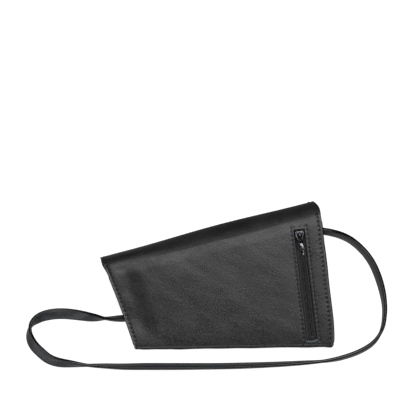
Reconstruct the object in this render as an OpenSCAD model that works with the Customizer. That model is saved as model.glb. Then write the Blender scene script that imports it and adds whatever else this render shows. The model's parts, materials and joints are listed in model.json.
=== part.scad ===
// Leather neck pouch, lying on its flap with the zipped back upwards.
// X runs along the bottom edge, Y towards the folded top, Z up from the surface it lies on.

/* [Pouch] */
// Overall width, left end of the top fold to the lower right corner
pouch_w = 177; // [172:1:184]
// Overall height, bottom edge to the peak of the top fold
pouch_h = 114; // [112:1:116]
// Where the lower left corner stands in from the left end
bottom_start = 26; // [22:1:30]
// Rise of the bottom edge from left to right
bottom_rise = 2.6; // [0:0.2:4]
// Slope of the folded top, in degrees
top_slope = 14.8; // [14:0.2:15.6]
// Lean of the right edge, in degrees
right_lean = 6; // [5:0.5:7]
// Radius of the rolled top fold
fold_r = 9; // [8.5:0.1:9.5]
// How far the back panel falls from the fold to the lower right corner
back_fall = 4; // [3:0.2:4.4]

/* [Leather] */
// Thickness of the outer hide
hide_t = 1.4; // [1.2:0.1:1.5]
// Thickness of the front panel
front_t = 1.2; // [1:0.1:1.3]
// Thickness of the flap's lining
lining_t = 0.6; // [0.4:0.1:0.7]
// Thickness of the pocket cloth
cloth_t = 0.5; // [0.4:0.1:0.6]
// How far the layers below show past the back panel's cut edges
edge_step = 0.8; // [0.5:0.1:1.2]

/* [Zip] */
// Length of the window in the back panel
window_l = 85; // [82:1:86]
// Width of the window
window_w = 7.8; // [7.6:0.1:8.4]
// Turn of the zip from the line square to the top fold, in degrees
zip_turn = 8; // [7:0.5:8.5]
// Width of the slider across its shoulders
slider_w = 8; // [7.6:0.1:8.2]
// Length of the slider
slider_l = 8.8; // [8.6:0.1:9]

/* [Stitches] */
// Distance from one stitch to the next
stitch_pitch = 3.4; // [3:0.1:4]
// Length of one stitch
stitch_l = 2.4; // [2:0.1:2.6]

/* [Strap] */
// Width of the flat strap
strap_w = 8.4; // [8:0.1:9]
// Thickness of the strap
strap_t = 2.5; // [2:0.1:2.8]

/* [Hidden] */
$fn = 48;

leather = [0.12, 0.12, 0.125];
leather_dark = [0.07, 0.07, 0.075];
cloth = [0.16, 0.16, 0.17];
thread = [0.04, 0.04, 0.045];
black_metal = [0.2, 0.2, 0.21];
steel = [0.6, 0.6, 0.62];

// Directions in plan: along the top fold, square to it towards the peak, and up the right edge.
fold_dir = [cos(top_slope), sin(top_slope)];
fold_out = [-sin(top_slope), cos(top_slope)];
right_dir = [-sin(right_lean), cos(right_lean)];

// Corners in plan, measured from the middle of the overall width and height.
middle = [pouch_w, pouch_h] / 2;
fold_left = [0, pouch_h - (pouch_w - 14) * tan(top_slope)] - middle;
fold_l = (pouch_w - 14) / cos(top_slope);
axis_left = fold_left - fold_r * fold_out;
low_left = [bottom_start, 0] - middle;
low_right = [pouch_w, bottom_rise] - middle;
left_dir = unit(axis_left - low_left);
bottom_dir = unit(low_right - low_left);

// The back panel's plane: full height at the fold, falling square to it.
top_z = 2 * fold_r;
fall_run = (axis_left - low_right) * fold_out;
back_tilt = atan(back_fall / fall_run);

// Levels below the flap side.
lining_top = hide_t + lining_t;
front_z = 4.4;
front_top = front_z + front_t;
divider_z = 6.3;
divider_t = 0.6;
bag_z = 7.4;
gusset_t = 1;
gap = 0.3;
far = 400;

// Size of a stitch above the leather, and how far in from the edges the seams run.
stitch_w = 0.7;
stitch_h = 0.3;
seam_in = 3;
right_seam_in = 3.6;
seam_low = 4;
seam_top = 2;

// Insets of the inner pieces from the pouch's four edges.
mouth_drop = 12;
flap_short = 8;
inner_side = 8;
bag_left = 92;
bag_right = 6.2;

// Levels along the zip, from the back panel's outer face.
tape_t = 0.6;
tape_in = 1.2;
tape_out = 9;
tape_past = 5;
coil_w = 2.1;
coil_h = 1.3;
coil_start = 5.2;
stop_l = 3;
core_w = 1.8;
plate_t = 1;
slider_start = 1.4;
crown_w = 1.8;
crown_gap = 1.3;
pull_at = 7.6;
pull_lift = 2;
pull_bar_r = 0.4;
pull_end = 20.3;

// Press stud, in the lower middle of the flap.
stud_at = [10, -34];
cap_r = 6;
cap_t = 0.7;
socket_r = 5;
socket_h = 1.6;
ball_r = 2.3;
post_r = 1.5;

// Strap route: x, y, height above lying on the surface, and tilt of the width in degrees.
// A tilt of 0 lies flat with the inner face up, 90 stands on edge and 180 lies on the inner face.
route = [
    [80.5, 33.5, 6.6, 62], [86, 32.5, 5.6, 62], [93, 30.6, 3.6, 62], [100, 27.4, 1.6, 62],
    [106, 23, 0.4, 62], [112, 17, 0, 62], [116.4, 11, 0, 62], [119.8, 4.6, 0, 62],
    [123.2, -4.4, 0, 63], [125.6, -13.4, 0, 68], [127, -22.6, 0, 76], [127, -31, 0, 81],
    [125.6, -40, 0, 87], [121.6, -48, 0, 97], [115.6, -54, 0, 104], [106, -59.2, 0, 105],
    [94, -63.2, 0, 103], [84, -65.2, 0, 97], [76, -66.1, 0, 90], [65, -66.9, 0, 83],
    [54, -67.6, 0, 79], [40, -68.3, 0, 75], [24, -68.9, 0, 72], [5, -69.4, 0, 70],
    [-14, -69.6, 0, 68], [-36, -69.7, 0, 66], [-55, -69.7, 0, 66], [-73, -69.8, 0, 71],
    [-86, -69.3, 0, 78], [-99, -68.8, 0, 92], [-111, -67.8, 0, 118], [-122, -66.5, 0, 142],
    [-129.4, -63.8, 0, 152], [-135.4, -59, 0, 154], [-140.2, -54, 0, 148], [-143, -48.6, 0, 130],
    [-143.8, -43, 0, 106], [-142.6, -38.2, 0, 80], [-139.6, -34.8, 0, 54], [-135, -32, 0, 32],
    [-129, -30.3, 0, 16], [-122, -29.5, 0, 8], [-114, -29.7, 0, 12], [-105, -30.8, 0, 25],
    [-98, -31.9, 0.4, 42], [-92, -32.4, 1.8, 62], [-86, -32.8, 3.4, 88], [-79, -33, 4.8, 106],
    [-73, -32.9, 5.4, 114]
];
end_inside = 5.5;
end_clear = 0.1;

function unit(v) = v / norm(v);
function cross2(a, b) = a[0] * b[1] - a[1] * b[0];
function left_of(d) = [-d[1], d[0]];

// Where the line through p along d meets the line through q along e.
function meet(p, d, q, e) = p + d * cross2(q - p, e) / cross2(d, e);

// The pouch's outline in plan, each edge moved inwards: corners from the lower left, turning left.
function outline(left = 0, bottom = 0, right = 0, top = 0) =
    let (
        l = low_left - left * left_of(left_dir),
        b = low_left + bottom * left_of(bottom_dir),
        r = low_right + right * left_of(right_dir),
        t = axis_left - top * fold_out
    )
    [
        meet(b, bottom_dir, l, left_dir), meet(b, bottom_dir, r, right_dir),
        meet(t, fold_dir, r, right_dir), meet(t, fold_dir, l, left_dir)
    ];

// The frame of the back panel: x along the fold, y up towards it, z out of the panel.
module on_back() {
    translate([axis_left[0], axis_left[1], top_z])
        rotate([0, 0, top_slope])
            rotate([back_tilt, 0, 0]) children();
}

// The frame of the zip: origin at the window's top end, y pointing up the zip.
zip_top = [150, 92.2] - middle;
zip_local = [(zip_top - axis_left) * fold_dir, (zip_top - axis_left) * fold_out / cos(back_tilt)];
module on_zip() {
    on_back()
        translate([zip_local[0], zip_local[1], 0])
            rotate([0, 0, -zip_turn]) children();
}

// The space between two depths below the back panel's outer face.
module back_layer(deep, shallow) {
    on_back()
        translate([-far / 2, -far / 2, -deep]) cube([far, far, deep - shallow]);
}

// Everything below a depth under the back panel's outer face.
module under_back(depth) { back_layer(far / 2, depth); }

// An upright prism over an outline, between two heights.
module prism(points, low, high) {
    translate([0, 0, low]) linear_extrude(high - low) polygon(points);
}

module back_panel() {
    color(leather) difference() {
        intersection() {
            prism(outline(edge_step, hide_t, edge_step, 0), 0, 2 * top_z);
            back_layer(hide_t, 0);
        }
        on_zip() translate([-window_w / 2, -window_l, -hide_t - 1])
            cube([window_w, window_l, hide_t + 2]);
    }
}

module top_fold() {
    color(leather) translate([axis_left[0], axis_left[1], fold_r])
        rotate([0, 0, top_slope]) difference() {
            rotate([0, 90, 0]) cylinder(h = fold_l, r = fold_r);
            translate([-1, 0, 0]) rotate([0, 90, 0]) cylinder(h = fold_l + 2, r = fold_r - hide_t);
            translate([-1, -2 * fold_r, -2 * fold_r]) cube([fold_l + 2, 2 * fold_r, 4 * fold_r]);
        }
}

module bottom_fold() {
    inner = outline(0, hide_t, 0, 0);
    color(leather) intersection() {
        prism([low_left, low_right, inner[1], inner[0]], front_z, 2 * top_z);
        under_back(0);
    }
}

module front_panel() {
    color(leather) difference() {
        prism(outline(0, hide_t, 0, mouth_drop), front_z, front_top);
        translate([stud_at[0], stud_at[1], 0]) cylinder(h = top_z, r = post_r + end_clear);
    }
}

// A side wall between the front and back panels, along the edge from one outline corner to another.
module side_wall(outer, inner) {
    intersection() {
        prism(concat(outer, inner), front_top, 2 * top_z);
        under_back(hide_t);
    }
}

module left_gusset() {
    outer = outline(0, hide_t, 0, 0);
    inner = outline(gusset_t, hide_t, 0, 0);
    color(leather_dark) difference() {
        side_wall([outer[0], inner[0]], [inner[3], outer[3]]);
        strap_tab(len(route) - 1, end_clear);
    }
}

module right_gusset() {
    outer = outline(0, hide_t, 0, 0);
    inner = outline(0, hide_t, gusset_t, 0);
    color(leather_dark) difference() {
        side_wall([inner[1], outer[1]], [outer[2], inner[2]]);
        strap_tab(0, end_clear);
    }
}

module divider_panel() {
    color(cloth) prism(outline(inner_side, hide_t, inner_side, mouth_drop), divider_z, divider_z + divider_t);
}

module card_pocket() {
    pocket = [60, 36, 1];
    at = [-54, -50];
    color(leather_dark) translate([at[0], at[1], divider_z + divider_t]) cube(pocket);
}

module zip_pocket_bag() {
    color(cloth) intersection() {
        difference() {
            prism(outline(bag_left, hide_t, bag_right, gap), bag_z, 2 * top_z);
            prism(outline(bag_left + cloth_t, hide_t + cloth_t, bag_right + cloth_t, gap + cloth_t),
                  bag_z + cloth_t, 3 * top_z);
        }
        under_back(hide_t);
    }
}

// One half of the tape, on the side given as -1 or 1.
module zip_tape(side) {
    low = -window_l - 2;
    color(cloth) on_zip() translate([side > 0 ? tape_in : -tape_out, low, -hide_t - tape_t])
        cube([tape_out - tape_in, tape_past - low, tape_t]);
}

// One row of closed coil, on the side given as -1 or 1.
module zip_coil(side) {
    half_gap = 0.1;
    color(thread) on_zip()
        translate([side > 0 ? half_gap : -half_gap - coil_w, -window_l + stop_l + 0.2, -hide_t])
            cube([coil_w, window_l - stop_l - coil_start - 0.2, coil_h]);
}

module zip_top_stops() {
    stop = [1.2, 0.9, coil_h];
    apart = 3.4;
    below = 1.1;
    color(black_metal) on_zip() for (side = [-1, 1])
        translate([(side * apart - stop[0]) / 2, -below, -hide_t]) cube(stop);
}

module zip_bottom_stop() {
    stop = [4.8, stop_l - 0.3, coil_h + 0.1];
    color(black_metal) on_zip() translate([-stop[0] / 2, -window_l + 0.2, -hide_t]) cube(stop);
}

// The slider: two plates joined by the wedge that parts the teeth, with a crown for the pull.
module zip_slider() {
    shoulder = slider_w / 2;
    nose = 3;
    tail = 3.3;
    plate = [
        [-nose, 0], [-shoulder, -2], [-tail, -slider_l], [tail, -slider_l], [shoulder, -2], [nose, 0]
    ];
    lower = hide_t + tape_t + gap + plate_t;
    crown_low = gap + plate_t;
    core_start = 0.6;
    core_l = 2.8;
    crown_start = 1.6;
    crown_leg = 1.2;
    crown_l = 6.4;
    crown_t = 0.8;
    sunk = 0.2;
    color(black_metal) on_zip() translate([0, -slider_start, 0]) {
        translate([0, 0, gap]) linear_extrude(plate_t) polygon(plate);
        translate([0, 0, -lower]) linear_extrude(plate_t) polygon(plate);
        translate([-core_w / 2, -core_start - core_l, -lower + plate_t / 2]) cube([core_w, core_l, lower + gap]);
        for (leg = [0, crown_l - crown_leg])
            translate([-crown_w / 2, -crown_start - crown_leg - leg, crown_low - sunk])
                cube([crown_w, crown_leg, crown_gap + 2 * sunk]);
        translate([-crown_w / 2, -crown_start - crown_l, crown_low + crown_gap])
            cube([crown_w, crown_l, crown_t]);
    }
}

// The pull: a bar through the crown, two arms that close to a narrow tab, and a round end.
module zip_pull() {
    plate = 0.8;
    arm = 2.9;
    bar_in = 0.2;
    end_r = 1.3;
    end_t = 1.2;
    reach = pull_end - pull_at;
    outer = [
        [-arm, 0.6], [-arm, -1.4], [-1.3, -6], [-1.3, -reach + 1.2],
        [1.3, -reach + 1.2], [1.3, -6], [arm, -1.4], [arm, 0.6]
    ];
    color(black_metal) on_zip() translate([0, -pull_at, pull_lift]) {
        rotate([0, 90, 0]) translate([0, 0, bar_in - arm]) cylinder(h = 2 * (arm - bar_in), r = pull_bar_r);
        translate([0, 0, -plate / 2]) linear_extrude(plate) difference() {
            polygon(outer);
            translate([-1.6, -3]) square([3.2, 4]);
            polygon([[-1.6, -2.9], [-0.4, -4.4], [0.4, -4.4], [1.6, -2.9]]);
        }
        translate([0, end_r - reach, -end_t / 2]) cylinder(h = end_t, r = end_r);
    }
}

// One stitch along X, with its middle at the origin.
module stitch() {
    translate([-stitch_l / 2, -stitch_w / 2, 0]) cube([stitch_l, stitch_w, stitch_h]);
}

// A row of stitches on the back panel from one plan point to another.
module stitch_row(from, to) {
    run = norm(to - from);
    count = floor(run / stitch_pitch);
    turn = atan2(to[1] - from[1], to[0] - from[0]);
    for (i = [0 : count - 1]) {
        p = from + (to - from) * ((i + 0.5) / count);
        local = [(p - axis_left) * fold_dir, (p - axis_left) * fold_out / cos(back_tilt)];
        on_back() translate([local[0], local[1], 0]) rotate([0, 0, turn - top_slope])
            stitch();
    }
}

// A row of stitches along the zip's frame, in the zip's own frame.
module frame_row(x, from, to) {
    count = floor((from - to) / stitch_pitch);
    for (i = [0 : count - 1])
        translate([x, from + (to - from) * (i + 0.5) / count, 0]) rotate([0, 0, 90]) stitch();
}

module zip_frame_stitches() {
    row_off = 1.6;
    row_end = 1;
    beside = window_w / 2 + row_off;
    color(thread) on_zip() {
        frame_row(-beside, row_end, row_end - window_l);
        frame_row(beside, row_end, row_end - window_l);
        for (i = [-1 : 1]) translate([i * stitch_pitch, row_off + stitch_w / 2, 0]) stitch();
    }
}

module left_seam_stitches() {
    seam = outline(seam_in, seam_low, seam_in, seam_top);
    color(thread) stitch_row(seam[0], seam[3]);
}

module right_seam_stitches() {
    seam = outline(seam_in, seam_low, right_seam_in, seam_top);
    color(thread) stitch_row(seam[1], seam[2]);
}

module stud_ball() {
    color(steel) translate([stud_at[0], stud_at[1], 0]) {
        translate([0, 0, front_z - 0.5]) cylinder(h = 0.5, r = socket_r);
        translate([0, 0, 2.8]) cylinder(h = front_z - 3, r = ball_r);
    }
}

module stud_post() {
    color(steel) translate([stud_at[0], stud_at[1], 0]) {
        translate([0, 0, front_z]) cylinder(h = front_t, r = post_r);
        translate([0, 0, front_top]) cylinder(h = 0.4, r = socket_r - 0.5);
    }
}

module flap() {
    color(leather) difference() {
        prism(outline(0, flap_short, 0, 0), 0, hide_t);
        translate([stud_at[0], stud_at[1], -1]) cylinder(h = 1 + cap_t, r = cap_r + end_clear);
        translate([stud_at[0], stud_at[1], -1]) cylinder(h = 4, r = post_r + end_clear);
    }
}

module flap_lining() {
    color(cloth) difference() {
        prism(outline(1, flap_short + 1, 1, 0), hide_t, lining_top);
        translate([stud_at[0], stud_at[1], -1]) cylinder(h = 4, r = post_r + end_clear);
    }
}

module flap_stitches() {
    seam = outline(seam_in, flap_short + seam_in, seam_in, seam_in);
    color(thread) for (i = [0 : 2]) {
        from = [seam[3], seam[0], seam[1]][i];
        to = [seam[0], seam[1], seam[2]][i];
        run = norm(to - from);
        count = floor(run / stitch_pitch);
        for (k = [0 : count - 1])
            translate(concat(from + (to - from) * ((k + 0.5) / count), lining_top))
                rotate([0, 0, atan2(to[1] - from[1], to[0] - from[0])])
                    stitch();
    }
}

module stud_cap() {
    color(black_metal) translate([stud_at[0], stud_at[1], 0]) {
        cylinder(h = cap_t, r = cap_r);
        cylinder(h = lining_top, r = post_r);
    }
}

module stud_socket() {
    color(steel) translate([stud_at[0], stud_at[1], lining_top]) difference() {
        cylinder(h = socket_h, r = socket_r);
        translate([0, 0, 0.5]) cylinder(h = socket_h, r = ball_r + 0.4);
    }
}

// Half the height that the tilted strap takes, which is how high its middle lies.
function strap_half(tilt) = strap_w / 2 * abs(sin(tilt)) + strap_t / 2 * abs(cos(tilt));
function strap_point(i) = [route[i][0], route[i][1], route[i][2] + strap_half(route[i][3])];
function strap_heading(i) =
    unit(strap_point(min(i + 1, len(route) - 1)) - strap_point(max(i - 1, 0)));
// Towards the inside of the loop, level, and square to the heading.
function strap_inside(i) = let (h = strap_heading(i)) unit([h[1], -h[0], 0]);
function strap_width_dir(i) =
    let (side = strap_inside(i), up = cross(side, strap_heading(i)))
    -cos(route[i][3]) * side + sin(route[i][3]) * up;
function strap_face_dir(i) =
    let (side = strap_inside(i), up = cross(side, strap_heading(i)))
    sin(route[i][3]) * side + cos(route[i][3]) * up;

// The strap's section: a flat bar with its four edges taken off.
strap_bevel = 0.6;
strap_section = let (w = strap_w / 2, t = strap_t / 2, b = strap_bevel) [
    [w, -t + b], [w, t - b], [w - b, t], [b - w, t], [-w, t - b], [-w, b - t], [b - w, -t], [w - b, -t]
];

module strap() {
    sides = len(strap_section);
    last = len(route) - 1;
    rings = [
        for (i = [0 : last]) for (s = strap_section)
            strap_point(i) + s[0] * strap_width_dir(i) + s[1] * strap_face_dir(i)
    ];
    walls = [
        for (i = [0 : last - 1]) for (k = [0 : sides - 1])
            let (a = i * sides + k, b = i * sides + (k + 1) % sides)
            each [[a, b, b + sides], [a, b + sides, a + sides]]
    ];
    first_cap = [for (k = [sides - 1 : -1 : 0]) k];
    last_cap = [for (k = [0 : sides - 1]) last * sides + k];
    color(leather) polyhedron(points = rings, faces = concat(walls, [first_cap, last_cap]), convexity = 10);
}

// The sewn end of the strap, from its exit at route point i back into the pouch.
module strap_tab(i, grow = 0) {
    tilt = route[i][3];
    heading = strap_heading(i);
    turn = atan2(heading[1], heading[0]);
    lift = asin(heading[2]);
    start = i == 0 ? -end_inside - grow : -2 * grow;
    color(leather) translate(strap_point(i)) rotate([0, -lift, turn]) rotate([tilt - 90, 0, 0])
        translate([start, -strap_t / 2 - grow, -strap_w / 2 - grow])
            cube([end_inside + 3 * grow, strap_t + 2 * grow, strap_w + 2 * grow]);
}

module strap_end_right() { strap_tab(0); }
module strap_end_left() { strap_tab(len(route) - 1); }

back_panel();
top_fold();
bottom_fold();
front_panel();
left_gusset();
right_gusset();
divider_panel();
card_pocket();
zip_pocket_bag();
zip_tape(-1);  // zip_tape_left
zip_tape(1);  // zip_tape_right
zip_coil(-1);  // zip_coil_left
zip_coil(1);  // zip_coil_right
zip_top_stops();
zip_bottom_stop();
zip_frame_stitches();
left_seam_stitches();
right_seam_stitches();
stud_ball();
stud_post();
flap();
flap_lining();
flap_stitches();
stud_cap();
stud_socket();
zip_slider();
zip_pull();
strap_end_left();
strap_end_right();
strap();
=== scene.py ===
"""Looks of the leather neck pouch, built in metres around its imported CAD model.

The pouch lies on its closed flap with the zipped back upwards. Surfaces are worked out in the fold's own
frame: t runs along the rolled top fold, n runs square to it towards the peak, and both start at the left
end of the fold's axis.
"""

import json
import logging
import math
from dataclasses import dataclass, field
from enum import Enum
from typing import Any, Callable, Sequence

import bpy
import numpy as np
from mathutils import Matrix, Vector


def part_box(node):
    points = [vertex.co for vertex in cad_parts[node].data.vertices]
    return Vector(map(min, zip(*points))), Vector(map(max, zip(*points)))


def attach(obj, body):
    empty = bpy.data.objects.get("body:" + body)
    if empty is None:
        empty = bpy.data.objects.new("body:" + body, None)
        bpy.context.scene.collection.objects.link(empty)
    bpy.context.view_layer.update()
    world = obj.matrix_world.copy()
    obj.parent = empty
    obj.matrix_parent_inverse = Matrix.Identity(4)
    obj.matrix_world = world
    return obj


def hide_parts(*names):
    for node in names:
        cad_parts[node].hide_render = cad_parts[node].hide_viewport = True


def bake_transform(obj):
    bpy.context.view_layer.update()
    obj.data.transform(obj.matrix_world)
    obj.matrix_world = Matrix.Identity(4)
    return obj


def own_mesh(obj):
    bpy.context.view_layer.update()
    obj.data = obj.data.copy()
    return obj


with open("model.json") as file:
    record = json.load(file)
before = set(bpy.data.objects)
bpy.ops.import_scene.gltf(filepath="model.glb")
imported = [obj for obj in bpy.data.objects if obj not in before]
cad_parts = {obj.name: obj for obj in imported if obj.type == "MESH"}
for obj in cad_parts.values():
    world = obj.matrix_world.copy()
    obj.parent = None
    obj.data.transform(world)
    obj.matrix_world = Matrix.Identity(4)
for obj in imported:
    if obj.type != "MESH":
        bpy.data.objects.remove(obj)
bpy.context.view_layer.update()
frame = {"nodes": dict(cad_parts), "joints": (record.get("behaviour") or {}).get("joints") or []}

Array = np.ndarray
Piece = bpy.types.Object
Material = bpy.types.Material
Socket = bpy.types.NodeSocket
Tree = bpy.types.NodeTree

LOG = logging.getLogger("pouch")
MM = 0.001
UP = np.array([0.0, 0.0, 1.0])


# ---------------------------------------------------------------- numbers and vectors


class Side(Enum):
    """The two long sides of the pouch, and of the zip."""

    LEFT = -1
    RIGHT = 1

    @property
    def word(self) -> str:
        """The side's name in lower case."""
        return self.name.lower()


def unit(v: Array) -> Array:
    """Scales a vector, or each row of vectors, to length 1."""
    v = np.asarray(v, float)
    return v / np.maximum(np.linalg.norm(v, axis=-1, keepdims=True), 1e-12)


def smoothstep(x: Array, low: float, high: float) -> Array:
    """A smooth 0 to 1 ramp between low and high."""
    s = np.clip((np.asarray(x, float) - low) / (high - low), 0, 1)
    return s * s * (3 - 2 * s)


def ripple(x: Array, y: Array, length: float, seed: int, stretch: float = 1.0,
           turn: float = 0.0, waves: int = 16) -> Array:
    """Adds up seeded waves into a soft, uneven surface.

    Args:
        x: Places across, in metres.
        y: Places up, in metres.
        length: Typical distance between crests, in metres.
        seed: Fixes the waves.
        stretch: How much longer the folds are along the turned x axis.
        turn: Angle of that axis, in radians.
        waves: How many waves are added.

    Returns:
        Heights of about -1 to 1.
    """
    rng = np.random.default_rng(seed)
    along = (x * math.cos(turn) + y * math.sin(turn)) / stretch
    across = -x * math.sin(turn) + y * math.cos(turn)
    total = np.zeros(np.broadcast(x, y).shape)
    for _ in range(waves):
        heading, phase = rng.uniform(0, 2 * math.pi, 2)
        rate = 2 * math.pi / length * rng.uniform(0.6, 1.5)
        total += np.sin(rate * (along * math.cos(heading) + across * math.sin(heading)) + phase)
    return total / math.sqrt(waves)


def along_path(path: Array, step: float) -> Array:
    """Resamples a smooth curve through points at even steps.

    Args:
        path: Points, one row each, of any number of columns; the first three give its length.
        step: Distance between the new points, in metres.

    Returns:
        The new rows, the first and last unchanged.
    """
    p = np.vstack([2 * path[0] - path[1], path, 2 * path[-1] - path[-2]])
    s = np.linspace(0, 1, 40, endpoint=False)[:, None]
    rows = []
    for a, b, c, d in zip(p[:-3], p[1:-2], p[2:-1], p[3:]):
        rows.append(0.5 * (2 * b + (c - a) * s + (2 * a - 5 * b + 4 * c - d) * s ** 2
                           + (3 * b - a - 3 * c + d) * s ** 3))
    fine = np.vstack([*rows, path[-1:]])
    run = np.r_[0, np.cumsum(np.linalg.norm(np.diff(fine[:, :3], axis=0), axis=1))]
    at = np.linspace(0, run[-1], max(2, round(run[-1] / step) + 1))
    return np.column_stack([np.interp(at, run, column) for column in fine.T])


# ---------------------------------------------------------------- meshes


def mesh_piece(name: str, points: Array, faces: Sequence[Sequence[int]], uv: Array,
               marks: dict[str, Array] | None = None, sharp: float = 50.0) -> Piece:
    """Makes a mesh object with one UV map and point attributes.

    Args:
        name: The piece's name.
        points: Vertex places in metres.
        faces: Vertex numbers of each face, anticlockwise from outside.
        uv: One UV pair for each vertex, in metres.
        marks: Values for each vertex, by attribute name.
        sharp: Edges that turn more than this many degrees stay sharp.

    Returns:
        The new object, linked to the scene.
    """
    mesh = bpy.data.meshes.new(name)
    mesh.from_pydata(np.asarray(points).tolist(), [], [list(map(int, f)) for f in faces])
    layer = mesh.uv_layers.new(name="surface")
    corner = np.zeros(len(mesh.loops), np.int32)
    mesh.loops.foreach_get("vertex_index", corner)
    layer.data.foreach_set("uv", np.asarray(uv, np.float32)[corner].ravel())
    for key, values in (marks or {}).items():
        mesh.attributes.new(key, "FLOAT", "POINT").data.foreach_set("value", np.asarray(values, np.float32))
    mesh.shade_smooth()
    mesh.set_sharp_from_angle(angle=math.radians(sharp))
    piece = bpy.data.objects.new(name, mesh)
    bpy.context.scene.collection.objects.link(piece)
    return piece


def grid_faces(rows: int, columns: int, skip: Callable[[int, int], bool] | None = None,
               wrap: bool = False) -> list[tuple[int, int, int, int]]:
    """Faces of a grid whose points are numbered row by row.

    Args:
        rows: Number of point rows.
        columns: Number of points in a row.
        skip: Says which cells, by row and column, are left open.
        wrap: Whether the last column joins the first.

    Returns:
        The faces, anticlockwise where rows run up and columns run right.
    """
    faces = []
    for i in range(rows - 1):
        for j in range(columns if wrap else columns - 1):
            if skip and skip(i, j):
                continue
            k = (j + 1) % columns
            faces.append((i * columns + j, i * columns + k, (i + 1) * columns + k, (i + 1) * columns + j))
    return faces


def point_normals(points: Array, faces: Array) -> Array:
    """Area-weighted normals of a quad mesh at its points."""
    corners = points[faces]
    across = np.cross(corners[:, 2] - corners[:, 0], corners[:, 3] - corners[:, 1])
    normals = np.zeros_like(points)
    for k in range(4):
        np.add.at(normals, faces[:, k], across)
    return unit(normals)


def thick_sheet(name: str, points: Array, faces: Sequence[Sequence[int]], uv: Array,
                thickness: float, bulge: float | Array, flat: Array | None = None,
                marks: dict[str, Array] | None = None, steps: int = 6) -> Piece:
    """Makes a closed sheet from its outer face, with rounded cut edges.

    Args:
        name: The piece's name.
        points: Points of the outer face.
        faces: Quads of the outer face, anticlockwise from outside.
        uv: UV of each point, in metres.
        thickness: Thickness of the sheet, in metres.
        bulge: How far the cut edge stands out past the outer face's border, for all or for each point.
        flat: True at points where the cut edge stays flat because another piece joins there.
        marks: Point attributes of the outer face, carried through the sheet.
        steps: Faces round the cut edge.

    Returns:
        The new object, with the attribute cut_edge at 1 where the cut edge stands out most and lower where it
        stands out less.
    """
    quads = np.asarray(faces, int)
    count = len(points)
    normals = point_normals(points, quads)
    edges = np.vstack([quads[:, [k, (k + 1) % 4]] for k in range(4)])
    key, back = edges[:, 0] * count + edges[:, 1], edges[:, 1] * count + edges[:, 0]
    border = edges[~np.isin(key, back)]
    rim = np.unique(border)
    place = np.full(count, -1)
    place[rim] = np.arange(len(rim))
    outward = np.zeros_like(points)
    for a, b in border:
        side = np.cross(points[b] - points[a], normals[a] + normals[b])
        outward[a] += side
        outward[b] += side
    outward = unit(outward[rim])
    stand = np.broadcast_to(np.asarray(bulge, float), count)[rim].copy()
    if flat is not None:
        stand[flat[rim]] = 0
    rows, levels = [points, points - thickness * normals], [uv, uv]
    for k in range(1, steps):
        angle = math.pi * k / steps
        level = 0.5 * thickness * (math.copysign(abs(math.cos(angle)) ** 0.8, math.cos(angle)) - 1)
        rows.append(points[rim] + level * normals[rim] + (stand * math.sin(angle) ** 0.7)[:, None] * outward)
        levels.append(uv[rim] + 0.5 * (thickness + level))
    ring = [rim] + [2 * count + k * len(rim) + np.arange(len(rim)) for k in range(steps - 1)] + [count + rim]
    made = [tuple(q) for q in quads] + [tuple(q[::-1] + count) for q in quads]
    for a, b in border:
        i, j = place[a], place[b]
        for upper, lower in zip(ring[:-1], ring[1:]):
            made.append((upper[j], upper[i], lower[i], lower[j]))
    total = 2 * count + (steps - 1) * len(rim)
    cut = np.zeros(total)
    # The pale cut edge fades with how far the edge stands out, so the back hide's window rim gets a dimmer
    # edge: painted shade on the window's rim.
    cut[2 * count:] = np.tile(stand / max(float(stand.max()), 1e-9), steps - 1)
    inner = np.r_[np.zeros(count), np.ones(count), np.full(total - 2 * count, 0.5)]
    carried = {"cut_edge": cut, "inner_face": inner}
    for label, values in (marks or {}).items():
        carried[label] = np.r_[values, values, np.tile(values[rim], steps - 1)]
    return mesh_piece(name, np.vstack(rows), made, np.vstack(levels), carried)


def thick_grid(name: str, grid: Array, uv: Array, thickness: float, bulge: float,
               turned_over: bool = False, **extra: Any) -> Piece:
    """Makes a closed sheet from a whole grid of points.

    Args:
        name: The piece's name.
        grid: Points of the outer face, in rows.
        uv: The grid's own surface coordinates.
        thickness: The sheet's thickness.
        bulge: How far its cut edges stand out.
        turned_over: True where the rows and columns run clockwise from outside.
        **extra: Further options of thick_sheet.

    Returns:
        The sheet.
    """
    faces = grid_faces(*grid.shape[:2])
    if turned_over:
        faces = [face[::-1] for face in faces]
    return thick_sheet(name, grid.reshape(-1, 3), faces, uv.reshape(-1, 2), thickness, bulge, **extra)


def closed_loft(name: str, rings: Sequence[Array], caps: bool = True, closed: bool = False,
                sharp: float = 40.0, marks: dict[str, Array] | None = None) -> Piece:
    """Skins equal rings of points into a closed solid.

    Args:
        name: The piece's name.
        rings: Rings of points, each anticlockwise seen from the loft's far end looking back.
        caps: Whether the two ends are closed with fans.
        closed: Whether the last ring joins the first instead.
        sharp: Edges that turn more than this many degrees stay sharp.
        marks: Point attributes in ring order.

    Returns:
        The new object.
    """
    around = len(rings[0])
    points = np.vstack(rings)
    faces: list[tuple[int, ...]] = grid_faces(len(rings), around, wrap=True)
    girth = np.r_[0, np.cumsum(np.linalg.norm(np.diff(rings[0], axis=0), axis=1))]
    centres = np.array([ring.mean(0) for ring in rings])
    run = np.r_[0, np.cumsum(np.linalg.norm(np.diff(centres, axis=0), axis=1))]
    uv = np.column_stack([np.tile(girth, len(rings)), np.repeat(run, around)])
    if closed:
        last = (len(rings) - 1) * around
        faces += [(last + k, last + (k + 1) % around, (k + 1) % around, k) for k in range(around)]
    elif caps:
        base = len(points)
        points = np.vstack([points, centres[0], centres[-1]])
        uv = np.vstack([uv, [[0, 0], [0, run[-1]]]])
        last = (len(rings) - 1) * around
        faces += [((k + 1) % around, k, base) for k in range(around)]
        faces += [(last + k, last + (k + 1) % around, base + 1) for k in range(around)]
        marks = {k: np.r_[v, v[0], v[-1]] for k, v in (marks or {}).items()}
    return mesh_piece(name, points, faces, uv, marks, sharp)


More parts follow.
